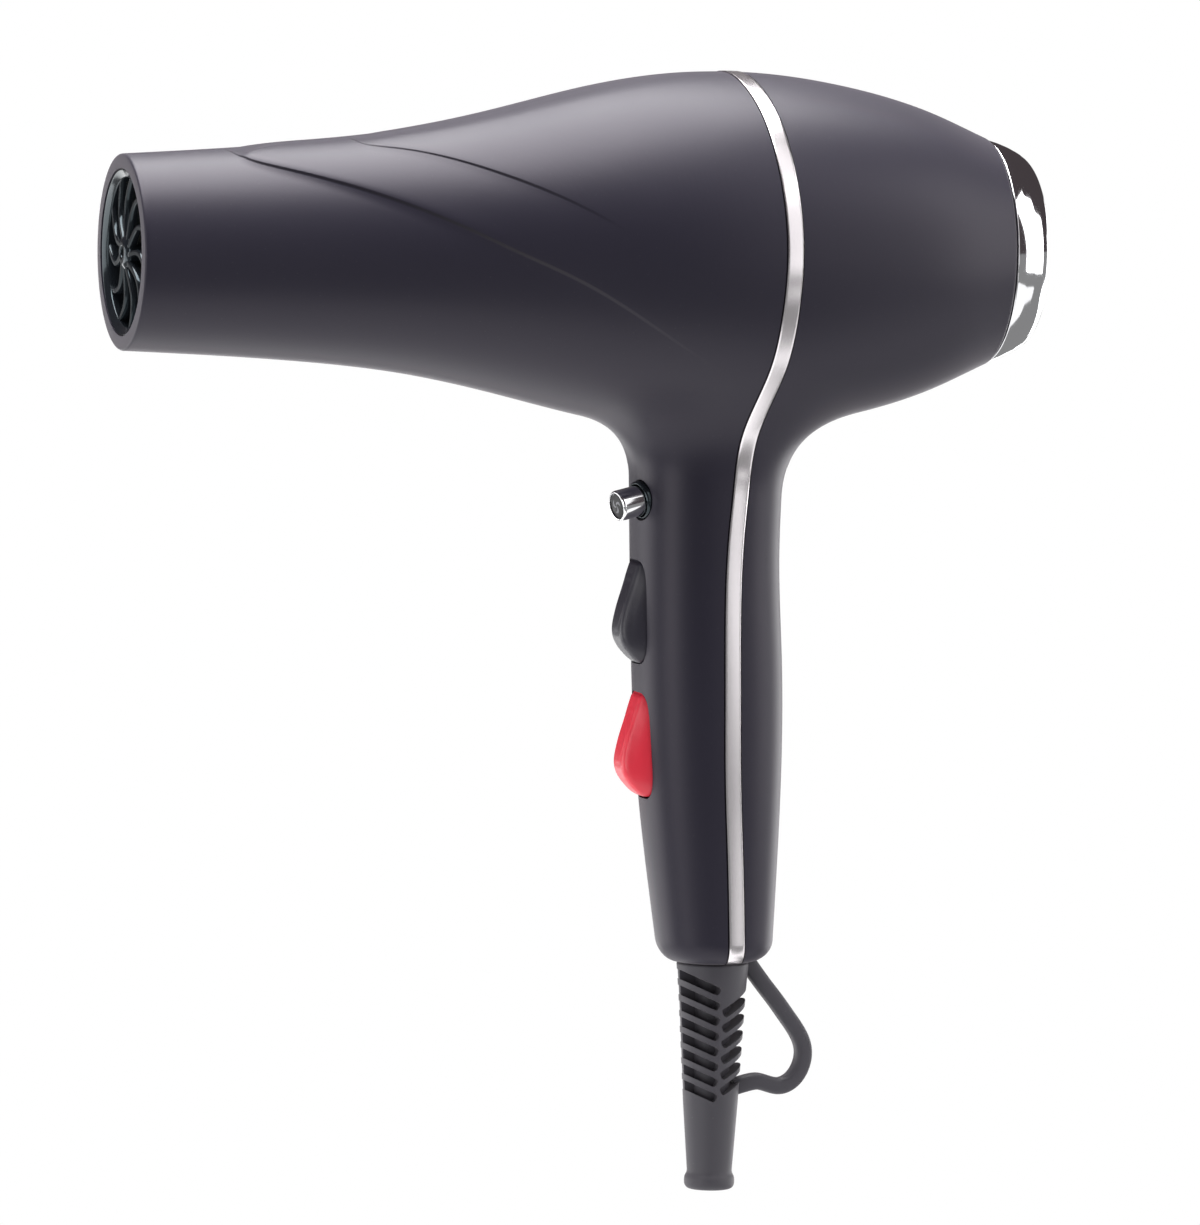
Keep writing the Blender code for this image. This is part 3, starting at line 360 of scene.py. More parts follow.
def junction(side, corner_x, counts, lift):
    """The face where the barrel turns into the handle. Each point starts as the sum of the two ruled
    blends between opposite edges less the blend of the corners, and is then moved onto the skin."""
    round_barrel, down, fillet, ring = counts
    offset = side * (BAND_HALF + GAP)
    left = barrel_rings(np.array([corner_x]), round_barrel + down, lift)[:, 0]
    right = edge_line(parting_heights(round_barrel, down, lift), offset, lift)
    across_share = even(0, 1, fillet + ring + 1)
    x = left[0, 0] + (right[0, 0] - left[0, 0]) * across_share
    top = np.stack([x, 0 * x, AXIS_Z + barrel_radius(x) + lift], -1)
    first_ring = handle_rings(np.array([RING_Z]), side, offset, ring, lift)[0]
    hub = np.array([0.0, 0, AXIS_Z - HUB_DROP])
    start, stop = left[-1] - hub, first_ring[0] - hub
    angle = even(math.atan2(start[0], start[2]) % (2 * math.pi), math.atan2(stop[0], stop[2]) % (2 * math.pi),
                 fillet + 1)
    fan = np.stack([np.sin(angle), 0 * angle, np.cos(angle)], -1)
    outline = hit(np.broadcast_to(hub, fan.shape), fan, lift)
    outline[[0, -1]] = left[-1], first_ring[0]
    bottom = np.concatenate([outline[:-1], first_ring])
    s, t = even(0, 1, len(left))[:, None, None], across_share[None, :, None]
    ruled = left[:, None] * (1 - t) + right[:, None] * t
    crossed = top[None] * (1 - s) + bottom[None] * s
    corners = (left[0] * (1 - t) + right[0] * t) * (1 - s) + (left[-1] * (1 - t) + right[-1] * t) * s
    grid = ruled + crossed - corners
    grid[1:-1, 1:-1] = onto_skin(grid[1:-1, 1:-1], lift)
    return grid


def crease_fields(points):
    """For each crease, how far each point lies beyond it on the raised side, how strong its line is there,
    how strong its step, and how wide. The skin is unrolled to (x, arc), the nearest of many stations on the
    crease is found, and the distance is the cross product with the crease's direction. The line fades
    at both ends, the step fades from a quarter of the way, and it widens over the last 25 degrees
    to the top."""
    flat = points.reshape(-1, 3)
    turn = np.arctan2(np.abs(flat[:, 1]), flat[:, 2] - AXIS_Z)
    radius = np.hypot(flat[:, 1], flat[:, 2] - AXIS_Z)
    radius = np.minimum(radius, barrel_radius(np.clip(flat[:, 0], OUTLET_X, REAR_X)) * 1.3)
    spot = np.stack([flat[:, 0], turn * radius], -1)
    fields = {}
    for name, line in CREASES.items():
        stations = even(0, 1, len(line))
        path = spline([(t, x, math.radians(a)) for t, (x, a) in zip(stations, line)])(even(0, 1, 260))
        path[:, 1] *= barrel_radius(path[:, 0])
        gap = np.hypot(spot[:, None, 0] - path[:, 0], spot[:, None, 1] - path[:, 1])
        nearest = gap.argmin(1)
        ahead = np.gradient(path, axis=0)[nearest]
        away = spot - path[nearest]
        beyond = (ahead[:, 1] * away[:, 0] - ahead[:, 0] * away[:, 1]) / np.hypot(*ahead.T)
        share = nearest / (len(path) - 1)
        line = (1 - smooth((share - 0.70) / 0.30)) * smooth((np.degrees(turn) - 4) / 14)
        strength = 1 - smooth((share - 0.25) / 0.75)
        width = CREASE_TOP_STEP + (CREASE_STEP - CREASE_TOP_STEP) * smooth(np.degrees(turn) / 25)
        fields[name] = [f.reshape(points.shape[:-1]) for f in (beyond, line, strength, width)]
    return fields


def crease_raise(fields):
    """How much the creases lift the skin: a smooth step across each, which falls away behind it as a
    bell curve of the distance."""
    lift = 0.0
    for name, (beyond, _, strength, width) in fields.items():
        step = smooth((beyond - 1.4 * (width - CREASE_STEP)) / width + 0.5)
        fall = np.exp(-(np.maximum(beyond, 0) / (CREASE_REACH + width)) ** 2)
        lift = lift + CREASE_RAISE[name] * strength * step * fall
    return lift


def shell_grids(side, stations, counts, rows, lift, rim, creased):
    """The barrel, junction and handle grids of one face of a shell's +Y half. rim is how much further in
    each of the barrel's stations stands."""
    round_barrel, down, _, ring = counts
    barrel = barrel_rings(stations, round_barrel + down, lift - rim)
    heights = np.append(even(RING_Z, FOOT_Z + FOOT_ROUND, rows[0] + 1), foot_heights(rows[1] + 1)[1:])
    handle = handle_rings(heights, side, side * (BAND_HALF + GAP), ring, lift)
    grids = [barrel, junction(side, stations[-1], counts, lift), handle]
    if creased:
        grids = [g + slope_of(g) * crease_raise(crease_fields(g))[..., None] for g in grids]
    return grids


def quads_of(grids):
    """All the points of several grids, and one quad for each of their cells, as whole arrays."""
    points, quads, start = [], [], 0
    for grid in grids:
        rows, columns = grid.shape[:2]
        index = start + np.arange(rows * columns).reshape(rows, columns)
        corners = index[:-1, :-1], index[1:, :-1], index[1:, 1:], index[:-1, 1:]
        quads.append(np.stack(corners, -1).reshape(-1, 4))
        points.append(grid.reshape(-1, 3))
        start += rows * columns
    return np.concatenate(points), np.concatenate(quads)


def piece(name, grids, mirror=False, sharp=35, uv=None, merge=2e-6):
    """A piece made of the grids' quads, merged where they meet, mirrored in the middle plane if asked,
    with its faces turned out and its edges sharp only above an angle. uv is one (u, v) for each point."""
    points, quads = quads_of(grids)
    mesh = bpy.data.meshes.new(name)
    mesh.from_pydata(points.tolist(), [], quads.tolist())
    if uv is not None:
        layer = mesh.uv_layers.new(name="piece")
        layer.data.foreach_set("uv", uv[quads.reshape(-1)].astype(np.float32).ravel())
    bm = bmesh.new()
    bm.from_mesh(mesh)
    bmesh.ops.remove_doubles(bm, verts=bm.verts, dist=merge)
    bmesh.ops.delete(bm, geom=[edge for edge in bm.edges if not edge.link_faces], context="EDGES")
    if mirror:
        bmesh.ops.mirror(bm, geom=bm.verts[:] + bm.edges[:] + bm.faces[:], axis="Y", merge_dist=1e-6)
    bmesh.ops.recalc_face_normals(bm, faces=bm.faces)
    bm.to_mesh(mesh)
    bm.free()
    return shade(placed(name, mesh), sharp)


def end_caps(grid):
    """Two fans that close the first and last rings of a tube."""
    return [np.stack([end, np.broadcast_to(end.mean(0), end.shape)]) for end in (grid[0], grid[-1])]


def shade(made, sharp=35):
    """Smooth faces, with edges kept sharp above this many degrees."""
    made.data.polygons.foreach_set("use_smooth", np.ones(len(made.data.polygons), bool))
    made.data.set_sharp_from_angle(angle=math.radians(sharp))
    return made


def settle(made):
    """Applies every modifier to the piece's own mesh."""
    graph = bpy.context.evaluated_depsgraph_get()
    mesh = bpy.data.meshes.new_from_object(made.evaluated_get(graph), preserve_all_data_layers=True,
                                           depsgraph=graph)
    made.modifiers.clear()
    made.data = mesh
    return made


def carve(made, cutters, operation="DIFFERENCE"):
    """An exact Boolean of the piece with each cutter, which is then thrown away."""
    for cutter in cutters:
        boolean = made.modifiers.new("cut", "BOOLEAN")
        boolean.operation = operation
        boolean.object = cutter
        boolean.solver = "EXACT"
    settle(made)
    for cutter in cutters:
        bpy.data.objects.remove(cutter)
    return made


def lathe(outline, start, axis, steps):
    """Grid of a closed outline of (along, radius) turned about an axis: each point moves along the axis
    and stands off it by its radius, at evenly spaced angles."""
    along, radius = np.array(outline + outline[:1], float).T
    ahead = np.array(Vector(axis).normalized())
    side = np.array(Vector(axis).normalized().orthogonal().normalized())
    other = np.cross(ahead, side)
    turn = even(0, 2 * math.pi, steps + 1)[:, None]
    round_axis = np.cos(turn)[..., None] * side + np.sin(turn)[..., None] * other
    return np.array(start) + along[None, :, None] * ahead + radius[None, :, None] * round_axis


def rounded(outline, radius, steps):
    """A closed outline with each corner replaced by an arc-like curve: a quadratic curve from a point
    just before the corner to one just after it, pulled towards the corner."""
    points = np.array(outline, float)
    before, after = np.roll(points, 1, 0), np.roll(points, -1, 0)
    to_before, to_after = before - points, after - points
    reach_before = np.minimum(radius / np.maximum(np.hypot(*to_before.T), 1e-9), 0.45)[:, None]
    reach_after = np.minimum(radius / np.maximum(np.hypot(*to_after.T), 1e-9), 0.45)[:, None]
    first, last = points + to_before * reach_before, points + to_after * reach_after
    t = even(0, 1, steps)[None, :, None]
    curve = first[:, None] * (1 - t) ** 2 + 2 * points[:, None] * t * (1 - t) + last[:, None] * t**2
    flat = curve.reshape(-1, 2)
    on_axis = np.repeat(points[:, 1] <= 0, steps)
    flat[on_axis, 1] = 0
    return [tuple(p) for p in flat]


def turned(name, outline, steps, corner=0.0, start=(0, 0, AXIS_Z), axis=(1, 0, 0), arc=4, sharp=35):
    """A turned piece: the outline, with its corners rounded if asked, lathed about the axis."""
    if corner:
        outline = rounded(outline, corner, arc)
    return piece(name, [lathe(outline, start, axis, steps)], sharp=sharp)


def superellipse(angle, power):
    """The two coordinates of a superellipse at these angles: a cosine and a sine whose sizes are raised
    to 2 over its power."""
    return (np.sign(wave) * np.abs(wave) ** (2 / power) for wave in (np.cos(angle), np.sin(angle)))


def bar(size, centre, turn=(0.0, 0.0, 0.0), edge=0.0):
    """A box used as a cutter, turned about its centre, with its edges rounded."""
    bm = bmesh.new()
    bmesh.ops.create_cube(bm, size=1, matrix=Matrix.Diagonal((*size, 1)))
    if edge:
        bmesh.ops.bevel(bm, geom=bm.edges[:], offset=edge, segments=3, affect="EDGES", profile=0.5)
    about_x, about_y, about_z = (Matrix.Rotation(angle, 4, axis) for angle, axis in zip(turn, "XYZ"))
    place = Matrix.Translation(centre) @ (about_z @ about_y @ about_x)
    bmesh.ops.transform(bm, matrix=place, verts=bm.verts)
    bmesh.ops.recalc_face_normals(bm, faces=bm.faces)
    mesh = bpy.data.meshes.new("cutter")
    bm.to_mesh(mesh)
    bm.free()
    return placed("cutter", mesh)


def shell(name, side, stations, counts, rows, rim_out, rim_in, creased=False):
    """A shell's wall: its outer face, the same face a wall's thickness inside, and its four edges."""
    outer = shell_grids(side, stations, counts, rows, 0.0, rim_out, creased)
    inner = shell_grids(side, stations, counts, rows, -WALL, rim_in, False)
    edges = [np.stack([pick(outer), pick(inner)]) for pick in (
        lambda face: face[0][:, 0], lambda face: face[1][:, -1], lambda face: face[2][:, -1],
        lambda face: face[2][-1],
    )]
    return piece(name, outer + inner + edges, mirror=True)


def rim_stations(edge_x, way, first, last, count):
    """Stations along the barrel from an open end, closer together round its rounded rim, and how much
    further in the rim's quarter circle stands at each."""
    rim = edge_x + way * RIM_ROUND * np.array([0, 0.1, 0.3, 0.6, 1.0])
    x = np.concatenate([rim, even(first, last, count)])
    into = np.maximum(1 - (x - edge_x) * way / RIM_ROUND, 0)
    return x, RIM_ROUND * (1 - np.sqrt(1 - into**2))


front_x, front_rim = rim_stations(OUTLET_X, 1, -0.1475, FRONT_CORNER_X, 124)
front_lip = LIP * (1 - smooth((front_x - LIP_X) / LIP_STEP))
front_shell = shell("front_shell", -1, front_x, (70, 18, 40, 24), (76, 12), front_rim, front_lip,
                    creased=True)
rear_x, rear_rim = rim_stations(REAR_X, -1, 0.0680, REAR_CORNER_X, 30)
rear_shell = shell("rear_shell", 1, rear_x, (56, 16, 34, 24), (76, 12), rear_rim, 0 * rear_x)

# The front shell's openings: the round well of the cool-shot button, and a window for each rocker whose
# ends are arcs about the rocker's pin. The rear shell has two wells for the screws.
PRESS_ASIDE, PRESS_DOWN = 0.24, 0.20
PRESS = Vector((-math.cos(PRESS_ASIDE) * math.cos(PRESS_DOWN), -math.sin(PRESS_ASIDE) * math.cos(PRESS_DOWN),
                -math.sin(PRESS_DOWN)))
BUTTON = Vector((-0.0190, -0.0045, 0.0496))
HEAT_PIN = Vector((-0.0115, 0, 0.0222))
SPEED_PIN = Vector((-0.0105, 0, -0.0103))
WINDOW_HALF, WINDOW_END = 0.0070, 0.0147
SCREW_HEIGHTS = (0.0414, -0.0400)
BOSS_R, WELL_R, WAY_R = 0.0042, 0.0031, 0.0017
WELL_FLOOR_X = 0.0104


def window(pin):
    """A cutter for a rocker's window: superellipses of power 4 in planes across X, as tall as a circle
    about the pin allows."""
    x = even(0.0, -0.0120, 13)[:, None]
    angle = even(0, 2 * math.pi, 65)[None, :]
    wide, tall = superellipse(angle, 4)
    grid = np.stack([pin.x + x + 0 * angle, WINDOW_HALF * wide + 0 * x,
                     pin.z + tall * np.sqrt(WINDOW_END**2 - x**2)], -1)
    return piece("window", [grid] + end_caps(grid))


carve(front_shell, [
    turned("button_well", [(-0.008, 0), (-0.008, 0.0050), (0.006, 0.0050), (0.006, 0)], 48,
           start=BUTTON, axis=PRESS),
    window(HEAT_PIN), window(SPEED_PIN),
])
for height in SCREW_HEIGHTS:
    part = float(parting_x(np.array(height)))
    boss_end, floor_x = 0.0136 - part, WELL_FLOOR_X - 0.0008
    carve(rear_shell, [turned("boss", [(0, 0), (boss_end, 0), (boss_end, BOSS_R), (0, BOSS_R)], 40,
                              start=(part + 0.0026, 0, height))], "UNION")
    carve(rear_shell, [
        turned("well", [(0, 0), (0.03, 0), (0.03, WELL_R), (0, WELL_R)], 40, start=(floor_x, 0, height)),
        turned("way", [(0, 0), (0.02, 0), (0.02, WAY_R), (0, WAY_R)], 24, start=(part, 0, height)),
    ])
shade(front_shell)
shade(rear_shell)

for name, field in crease_fields(np.array([v.co for v in front_shell.data.vertices])).items():
    for part_name, values in zip(("_beyond", "_line"), field):
        layer = front_shell.data.attributes.new(name + part_name, "FLOAT", "POINT")
        layer.data.foreach_set("value", values.astype(np.float32))


def feed(tree, target, value):
    """Links an output to an input, or sets the input to a plain value."""
    if isinstance(value, bpy.types.NodeSocket):
        tree.links.new(value, target)
    else:
        target.default_value = value


def node(tree, kind, *feeds, **settings):
    """A node with its properties set by name, its inputs fed by their names with _ for a space, and its
    first inputs fed in order."""
    made = tree.nodes.new(kind)
    for key, value in settings.items():
        if hasattr(made, key):
            setattr(made, key, value)
        else:
            feed(tree, made.inputs[key.replace("_", " ")], value)
    for target, value in zip(made.inputs, feeds):
        feed(tree, target, value)
    return made


def maths(tree, operation, *feeds):
    """The output of a maths node."""
    return node(tree, "ShaderNodeMath", *feeds, operation=operation).outputs[0]


def ramp(tree, value, first, last, way="LINEAR"):
    """An output that runs from 0 where the value is first to 1 where it is last."""
    return node(tree, "ShaderNodeMapRange", value, first, last, interpolation_type=way).outputs[0]


def blend(tree, share, first, second):
    """A colour that goes from the first to the second as the share goes from 0 to 1."""
    made = node(tree, "ShaderNodeMix", share, data_type="RGBA")
    feed(tree, made.inputs[6], first)
    feed(tree, made.inputs[7], second)
    return made.outputs[2]


DUST_COLOUR = (0.45, 0.43, 0.42, 1)
GRAIN_INPUTS = {  # name: kind of socket, default
    "Colour": ("Color", (0.5, 0.5, 0.5, 1)), "Cloud": ("Float", 0.1), "Roughness": ("Float", 0.5),
    "Gloss Spread": ("Float", 0.06), "Grain Scale": ("Float", 2500.0), "Grain Depth": ("Float", 0.15),
    "Dust": ("Float", 0.1),
}


def moulded_grain():
    """The node group of a moulded or lacquered face: a fine grain in relief, slow clouds in colour and
    gloss, and sparse pale specks of dust."""
    tree = bpy.data.node_groups.new("moulded_grain", "ShaderNodeTree")
    for name, (kind, value) in GRAIN_INPUTS.items():
        made = tree.interface.new_socket(name=name, in_out="INPUT", socket_type="NodeSocket" + kind)
        made.default_value = value
    for name, kind in (("Colour", "Color"), ("Roughness", "Float"), ("Normal", "Vector")):
        tree.interface.new_socket(name=name, in_out="OUTPUT", socket_type="NodeSocket" + kind)
    given = node(tree, "NodeGroupInput").outputs
    place = node(tree, "ShaderNodeTexCoord").outputs["Object"]
    clouds = node(tree, "ShaderNodeTexNoise", place, Scale=38.0, Detail=3.0).outputs["Fac"]
    grain = node(tree, "ShaderNodeTexNoise", place, Scale=given["Grain Scale"], Detail=2.0).outputs["Fac"]
    specks = node(tree, "ShaderNodeTexVoronoi", place, Scale=420.0).outputs["Distance"]
    centred = maths(tree, "SUBTRACT", clouds, 0.5)
    shift = maths(tree, "MULTIPLY_ADD", centred, given["Cloud"], 1.0)
    shaded = node(tree, "ShaderNodeVectorMath", given["Colour"], operation="SCALE", Scale=shift).outputs[0]
    dust = maths(tree, "MULTIPLY", ramp(tree, specks, 0.10, 0.04), given["Dust"])
    gloss = maths(tree, "MULTIPLY_ADD", centred, given["Gloss Spread"], given["Roughness"])
    relief = node(tree, "ShaderNodeBump", Strength=given["Grain Depth"], Distance=0.0001, Height=grain)
    node(tree, "NodeGroupOutput", blend(tree, dust, shaded, DUST_COLOUR), gloss, relief.outputs[0])
    return tree


grain_group = moulded_grain()


def finish(name, colour, roughness, cloud=0.15, spread=0.08, grain=2500.0, depth=0.12, dust=0.03, **plain):
    """A Principled material whose colour, roughness and normal come from the grain group. plain sets the
    shader's own sockets, with _ for a space."""
    material = bpy.data.materials.new(name)
    material.use_nodes = True
    tree = material.node_tree
    shader = tree.nodes["Principled BSDF"].inputs
    group = node(tree, "ShaderNodeGroup", node_tree=grain_group)
    for target, value in zip(group.inputs, ((*colour, 1), cloud, roughness, spread, grain, depth, dust)):
        feed(tree, target, value)
    for key, value in zip(("Base Color", "Roughness", "Normal"), group.outputs):
        feed(tree, shader[key], value)
    for key, value in plain.items():
        feed(tree, shader[key.replace("_", " ")], value)
    return material


def fit(made, body, material, slot, *replaced):
    """Gives a piece its material and its body, and hides the CAD nodes it stands for."""
    made.data.materials.clear()
    made.data.materials.append(material)
    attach(made, body)
    if replaced:
        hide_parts(*replaced)
    return made


SOFT_TOUCH = dict(cloud=0.10, spread=0.05, grain=3200.0, depth=0.10, dust=0.02, Specular_IOR_Level=0.36,
                  Specular_Tint=(1.0, 0.93, 1.0, 1), Sheen_Weight=0.20, Sheen_Roughness=0.42,
                  Sheen_Tint=(1.0, 0.93, 0.98, 1))
SHELL_COLOUR, SHELL_ROUGHNESS = (0.0140, 0.0130, 0.0240), 0.44
soft_touch, creased = (finish(name, SHELL_COLOUR, SHELL_ROUGHNESS, **SOFT_TOUCH) for name in (
    "soft_touch_lacquer", "creased_soft_touch_lacquer"))
CREASE_LINE = 0.0004  # width of the crisp line at the foot of each crease
CREASE_DEPTH = 0.00035
# painted shade: how strongly, and with what near-black colour, the fine line at the foot of each crease is
# shaded into the base colour
CREASE_SHADOW, CREASE_SHADE_COLOUR = 0.6, (0.002, 0.002, 0.003, 1)


def crease_relief(material):
    """Adds to the material's grain a crisp step along each crease, and paints a fine line of shade into the
    colour at its foot, from the distance and strength that the shell carries at each point."""
    tree = material.node_tree
    shader = tree.nodes["Principled BSDF"].inputs
    grain, plain = (shader[key].links[0].from_socket for key in ("Normal", "Base Color"))
    heights, painted_shades = [], []
    for crease in CREASES:
        beyond, strength = (node(tree, "ShaderNodeAttribute", attribute_name=crease + field).outputs["Fac"]
                            for field in ("_beyond", "_line"))
        step = ramp(tree, beyond, -CREASE_LINE, CREASE_LINE, "SMOOTHSTEP")
        # painted shade: a fine dark line in the colour along the foot of each crease, where the raised side
        # shades the lower
        painted_shade = ramp(tree, maths(tree, "ABSOLUTE", beyond), CREASE_LINE, 0.0, "SMOOTHSTEP")
        heights.append(maths(tree, "MULTIPLY", step, strength))
        painted_shades.append(maths(tree, "MULTIPLY", painted_shade, strength))
    height = maths(tree, "ADD", *heights)
    relief = node(tree, "ShaderNodeBump", Distance=CREASE_DEPTH, Height=height, Normal=grain)
    feed(tree, shader["Normal"], relief.outputs[0])
    # paints that shade into the base colour
    shadow = maths(tree, "MULTIPLY", maths(tree, "MAXIMUM", *painted_shades), CREASE_SHADOW)
    feed(tree, shader["Base Color"], blend(tree, shadow, plain, CREASE_SHADE_COLOUR))


crease_relief(creased)
fit(front_shell, "housing", creased, "soft_touch_black", "front_housing")
fit(rear_shell, "housing", soft_touch, "soft_touch_black", "rear_housing")

# ---------------------------------------------------------------- silver band
# A thin moulded strip with a satin metal plating, snapped between the shells. It stands a hair proud, and
# its long edges are rounded.
BAND_PROUD = 0.0002
BAND_EDGE = 0.0002
band_share = np.sin(even(-0.5, 0.5, 13) * math.pi)
band_in = np.maximum(np.abs(band_share) * BAND_HALF - (BAND_HALF - BAND_EDGE), 0) / BAND_EDGE


def band_face(lift, drop):
    """The band's +Y half: across its width, and down the parting line to the foot. drop lowers it at
    its edges in a quarter circle."""
    heights = np.concatenate([parting_heights(72, 16, lift), even(RING_Z, FOOT_Z + FOOT_ROUND, 80)[1:],
                              foot_heights(13)[1:]])
    lines = [edge_line(heights, share * BAND_HALF, lift - drop * (1 - math.sqrt(max(1 - inset**2, 0))))
             for share, inset in zip(band_share, band_in)]
    return np.stack(lines, 1)


band_out, band_back = band_face(BAND_PROUD, BAND_EDGE), band_face(-WALL, 0.0)
band_edges = [np.stack([pick(band_out), pick(band_back)]) for pick in (
    lambda face: face[:, 0], lambda face: face[:, -1], lambda face: face[-1])]
silver_band = piece("silver_band", [band_out, band_back] + band_edges, mirror=True)
satin = finish("satin_plating", (0.83, 0.79, 0.81), 0.24, cloud=0.04, spread=0.05, grain=900.0, depth=0.03,
               dust=0.0, Metallic=1.0)
fit(silver_band, "housing", satin, "satin_silver", "trim_band")

# ---------------------------------------------------------------- air outlet grille
# A glossy black moulding pressed into the nozzle: a dished ring, eleven spokes that curve like an S, and a
# hollow hub in the middle.
GRILLE_X = -0.1484
SPOKES = 11
SPOKE_HALF, SPOKE_DEEP_HALF = 0.0008, 0.0014
SPOKE_PATH = [  # share along the spoke, radius, turn, how far the spoke stands ahead
    (0.0, 0.0030, 0.00, 0.0001), (0.25, 0.0065, 0.16, 0.0003), (0.5, 0.0105, 0.17, 0.0006),
    (0.75, 0.0145, 0.03, 0.0008), (1.0, 0.0190, -0.20, 0.0009),
]


def spokes(name):
    """Every spoke as one grid: a rounded section, a superellipse of power 4, carried along an S-shaped
    path of radius and turn, and repeated at even turns."""
    share = even(0, 1, 28)
    radius, turn, ahead = np.moveaxis(spline(SPOKE_PATH)(share), -1, 0)
    angle = even(0, 2 * math.pi, 13)
    wide, deep = superellipse(angle, 4)
    wide = wide * SPOKE_HALF
    deep = (deep + 1) * SPOKE_DEEP_HALF
    swing = radius * turn
    slant = np.arctan(np.gradient(swing, radius))
    grids = []
    for lean in even(0, 2 * math.pi, SPOKES + 1)[:-1]:
        out = radius[:, None] - wide[None] * np.sin(slant)[:, None]
        aside = swing[:, None] + wide[None] * np.cos(slant)[:, None]
        x = GRILLE_X + ahead[:, None] + deep[None]
        y = aside * math.cos(lean) - out * math.sin(lean)
        z = AXIS_Z + aside * math.sin(lean) + out * math.cos(lean)
        grid = np.stack([x, y, z], -1)
        grids += [grid] + end_caps(grid)
    return piece(name, grids)


def join(name, parts):
    """One piece out of several, with their meshes put together."""
    bm = bmesh.new()
    for part in parts:
        bm.from_mesh(part.data)
    mesh = bpy.data.meshes.new(name)
    bm.to_mesh(mesh)
    bm.free()
    for part in parts:
        bpy.data.objects.remove(part)
    return shade(placed(name, mesh))


grille_ring = turned("ring", [
    (-0.1487, 0.0200), (-0.1487, 0.0198), (-0.1477, 0.0180), (-0.1395, 0.0180), (-0.1395, 0.0210),
    (-0.1448, 0.0210), (-0.1448, 0.0200),
], 96, 0.0003)
grille_hub = turned("hub", [
    (GRILLE_X - 0.0005, 0.0014), (GRILLE_X - 0.0005, 0.0028), (GRILLE_X + 0.0006, 0.0044),
    (GRILLE_X + 0.0044, 0.0044), (GRILLE_X + 0.0044, 0.0014),
], 48, 0.0005)
grille = join("air_grille", [grille_ring, grille_hub, spokes("spokes")])
gloss_black = finish("gloss_black_moulding", (0.010, 0.012, 0.015), 0.14, cloud=0.1, spread=0.05,
                     grain=500.0, depth=0.02, dust=0.02, Specular_Tint=(0.75, 0.92, 1.0, 1))
fit(grille, "housing", gloss_black, "gloss_black", "outlet_grille")

# ---------------------------------------------------------------- intake cap
# The pull-off cap at the rear: a chromed plastic ring that tapers to a rounded rim, with a ribbed black
# guard and a disc of fine steel mesh behind it that keeps hair out.
RING_START, RING_END = REAR_X + GAP, 0.0791
chrome_ring = turned("chrome_ring", [
    (0.0600, 0.0234), (0.0600, 0.0244), (RING_START, 0.0247), (RING_START, 0.0275), (0.0720, 0.0267),
    (0.0745, 0.0257), (0.0768, 0.0245), (0.0783, 0.0234), (RING_END, 0.0224), (RING_END, 0.0203),
    (0.0780, 0.0201), (0.0720, 0.0212),
], 128, 0.0004, sharp=50)
chrome = finish("bright_chrome", (0.88, 0.88, 0.90), 0.08, cloud=0.03, spread=0.05, grain=70.0, depth=0.003,
                dust=0.0, Metallic=1.0)
fit(chrome_ring, "filter_cap", chrome, "chrome", "rear_ring")

RIBS = 16
RIB_MIDDLE, RIB_SIZE = 0.0115, (0.0014, 0.0009, 0.0172)
guard = [
    turned("guard_rim", [
        (0.0700, 0.0188), (0.0718, 0.0188), (0.0718, 0.0208), (0.0640, 0.0222), (0.0640, 0.0215),
        (0.0700, 0.0203),
    ], 96, 0.0003),
    turned("guard_hub", [
        (0.0699, 0.0), (0.0699, 0.0042), (0.0717, 0.0042), (0.0721, 0.0034), (0.0721, 0.0),
    ], 48, 0.0003),
]
for inner, outer in ((0.0078, 0.0086), (0.0129, 0.0137)):
    guard.append(turned("hoop", [
        (0.0700, inner), (0.0717, inner), (0.0717, outer), (0.0700, outer),
    ], 72, 0.0003))
for turn in even(0, 2 * math.pi, RIBS + 1)[:-1]:
    middle = Vector((0.0709, -RIB_MIDDLE * math.sin(turn), AXIS_Z + RIB_MIDDLE * math.cos(turn)))
    guard.append(bar(RIB_SIZE, middle, (turn, 0, 0), 0.0002))
intake_guard = join("intake_guard", guard)
black_plastic = finish("fine_black_plastic", (0.022, 0.022, 0.025), 0.42, grain=2600.0, depth=0.14)
fit(intake_guard, "filter_cap", black_plastic, "black_plastic", "intake_grille")

mesh_disc = turned("mesh_disc", [(0.0688, 0.0), (0.0688, 0.0187), (0.0693, 0.0187), (0.0693, 0.0)], 72)
# the steel's colour, and the painted shade that stands for the dark seen through the holes
STEEL_COLOUR, HOLE_SHADE_COLOUR = (0.55, 0.55, 0.57), (0.004, 0.004, 0.004)
MESH_PITCH = 0.0007


def woven_mesh(material):
    """Turns the finish into a woven wire mesh: two square waves of Object coordinates across each other
    give the wires' relief, and the holes between them are painted with the dark of the shade behind them."""
    tree = material.node_tree
    shader = tree.nodes["Principled BSDF"].inputs
    place = node(tree, "ShaderNodeTexCoord").outputs["Object"]
    parts = node(tree, "ShaderNodeSeparateXYZ", place).outputs
    waves = [maths(tree, "COSINE", maths(tree, "MULTIPLY", parts[axis], 2 * math.pi / MESH_PITCH))
             for axis in (1, 2)]
    wires = ramp(tree, maths(tree, "MAXIMUM", *waves), 0.1, 0.5)
    # painted shade in the holes between the wires
    feed(tree, shader["Base Color"], blend(tree, wires, (*HOLE_SHADE_COLOUR, 1), (*STEEL_COLOUR, 1)))
    feed(tree, shader["Normal"], node(tree, "ShaderNodeBump", Distance=0.00015, Height=wires).outputs[0])


wire_mesh = finish("woven_steel_mesh", STEEL_COLOUR, 0.35, Metallic=1.0)
woven_mesh(wire_mesh)
fit(mesh_disc, "filter_cap", wire_mesh, "steel", "filter_mesh")

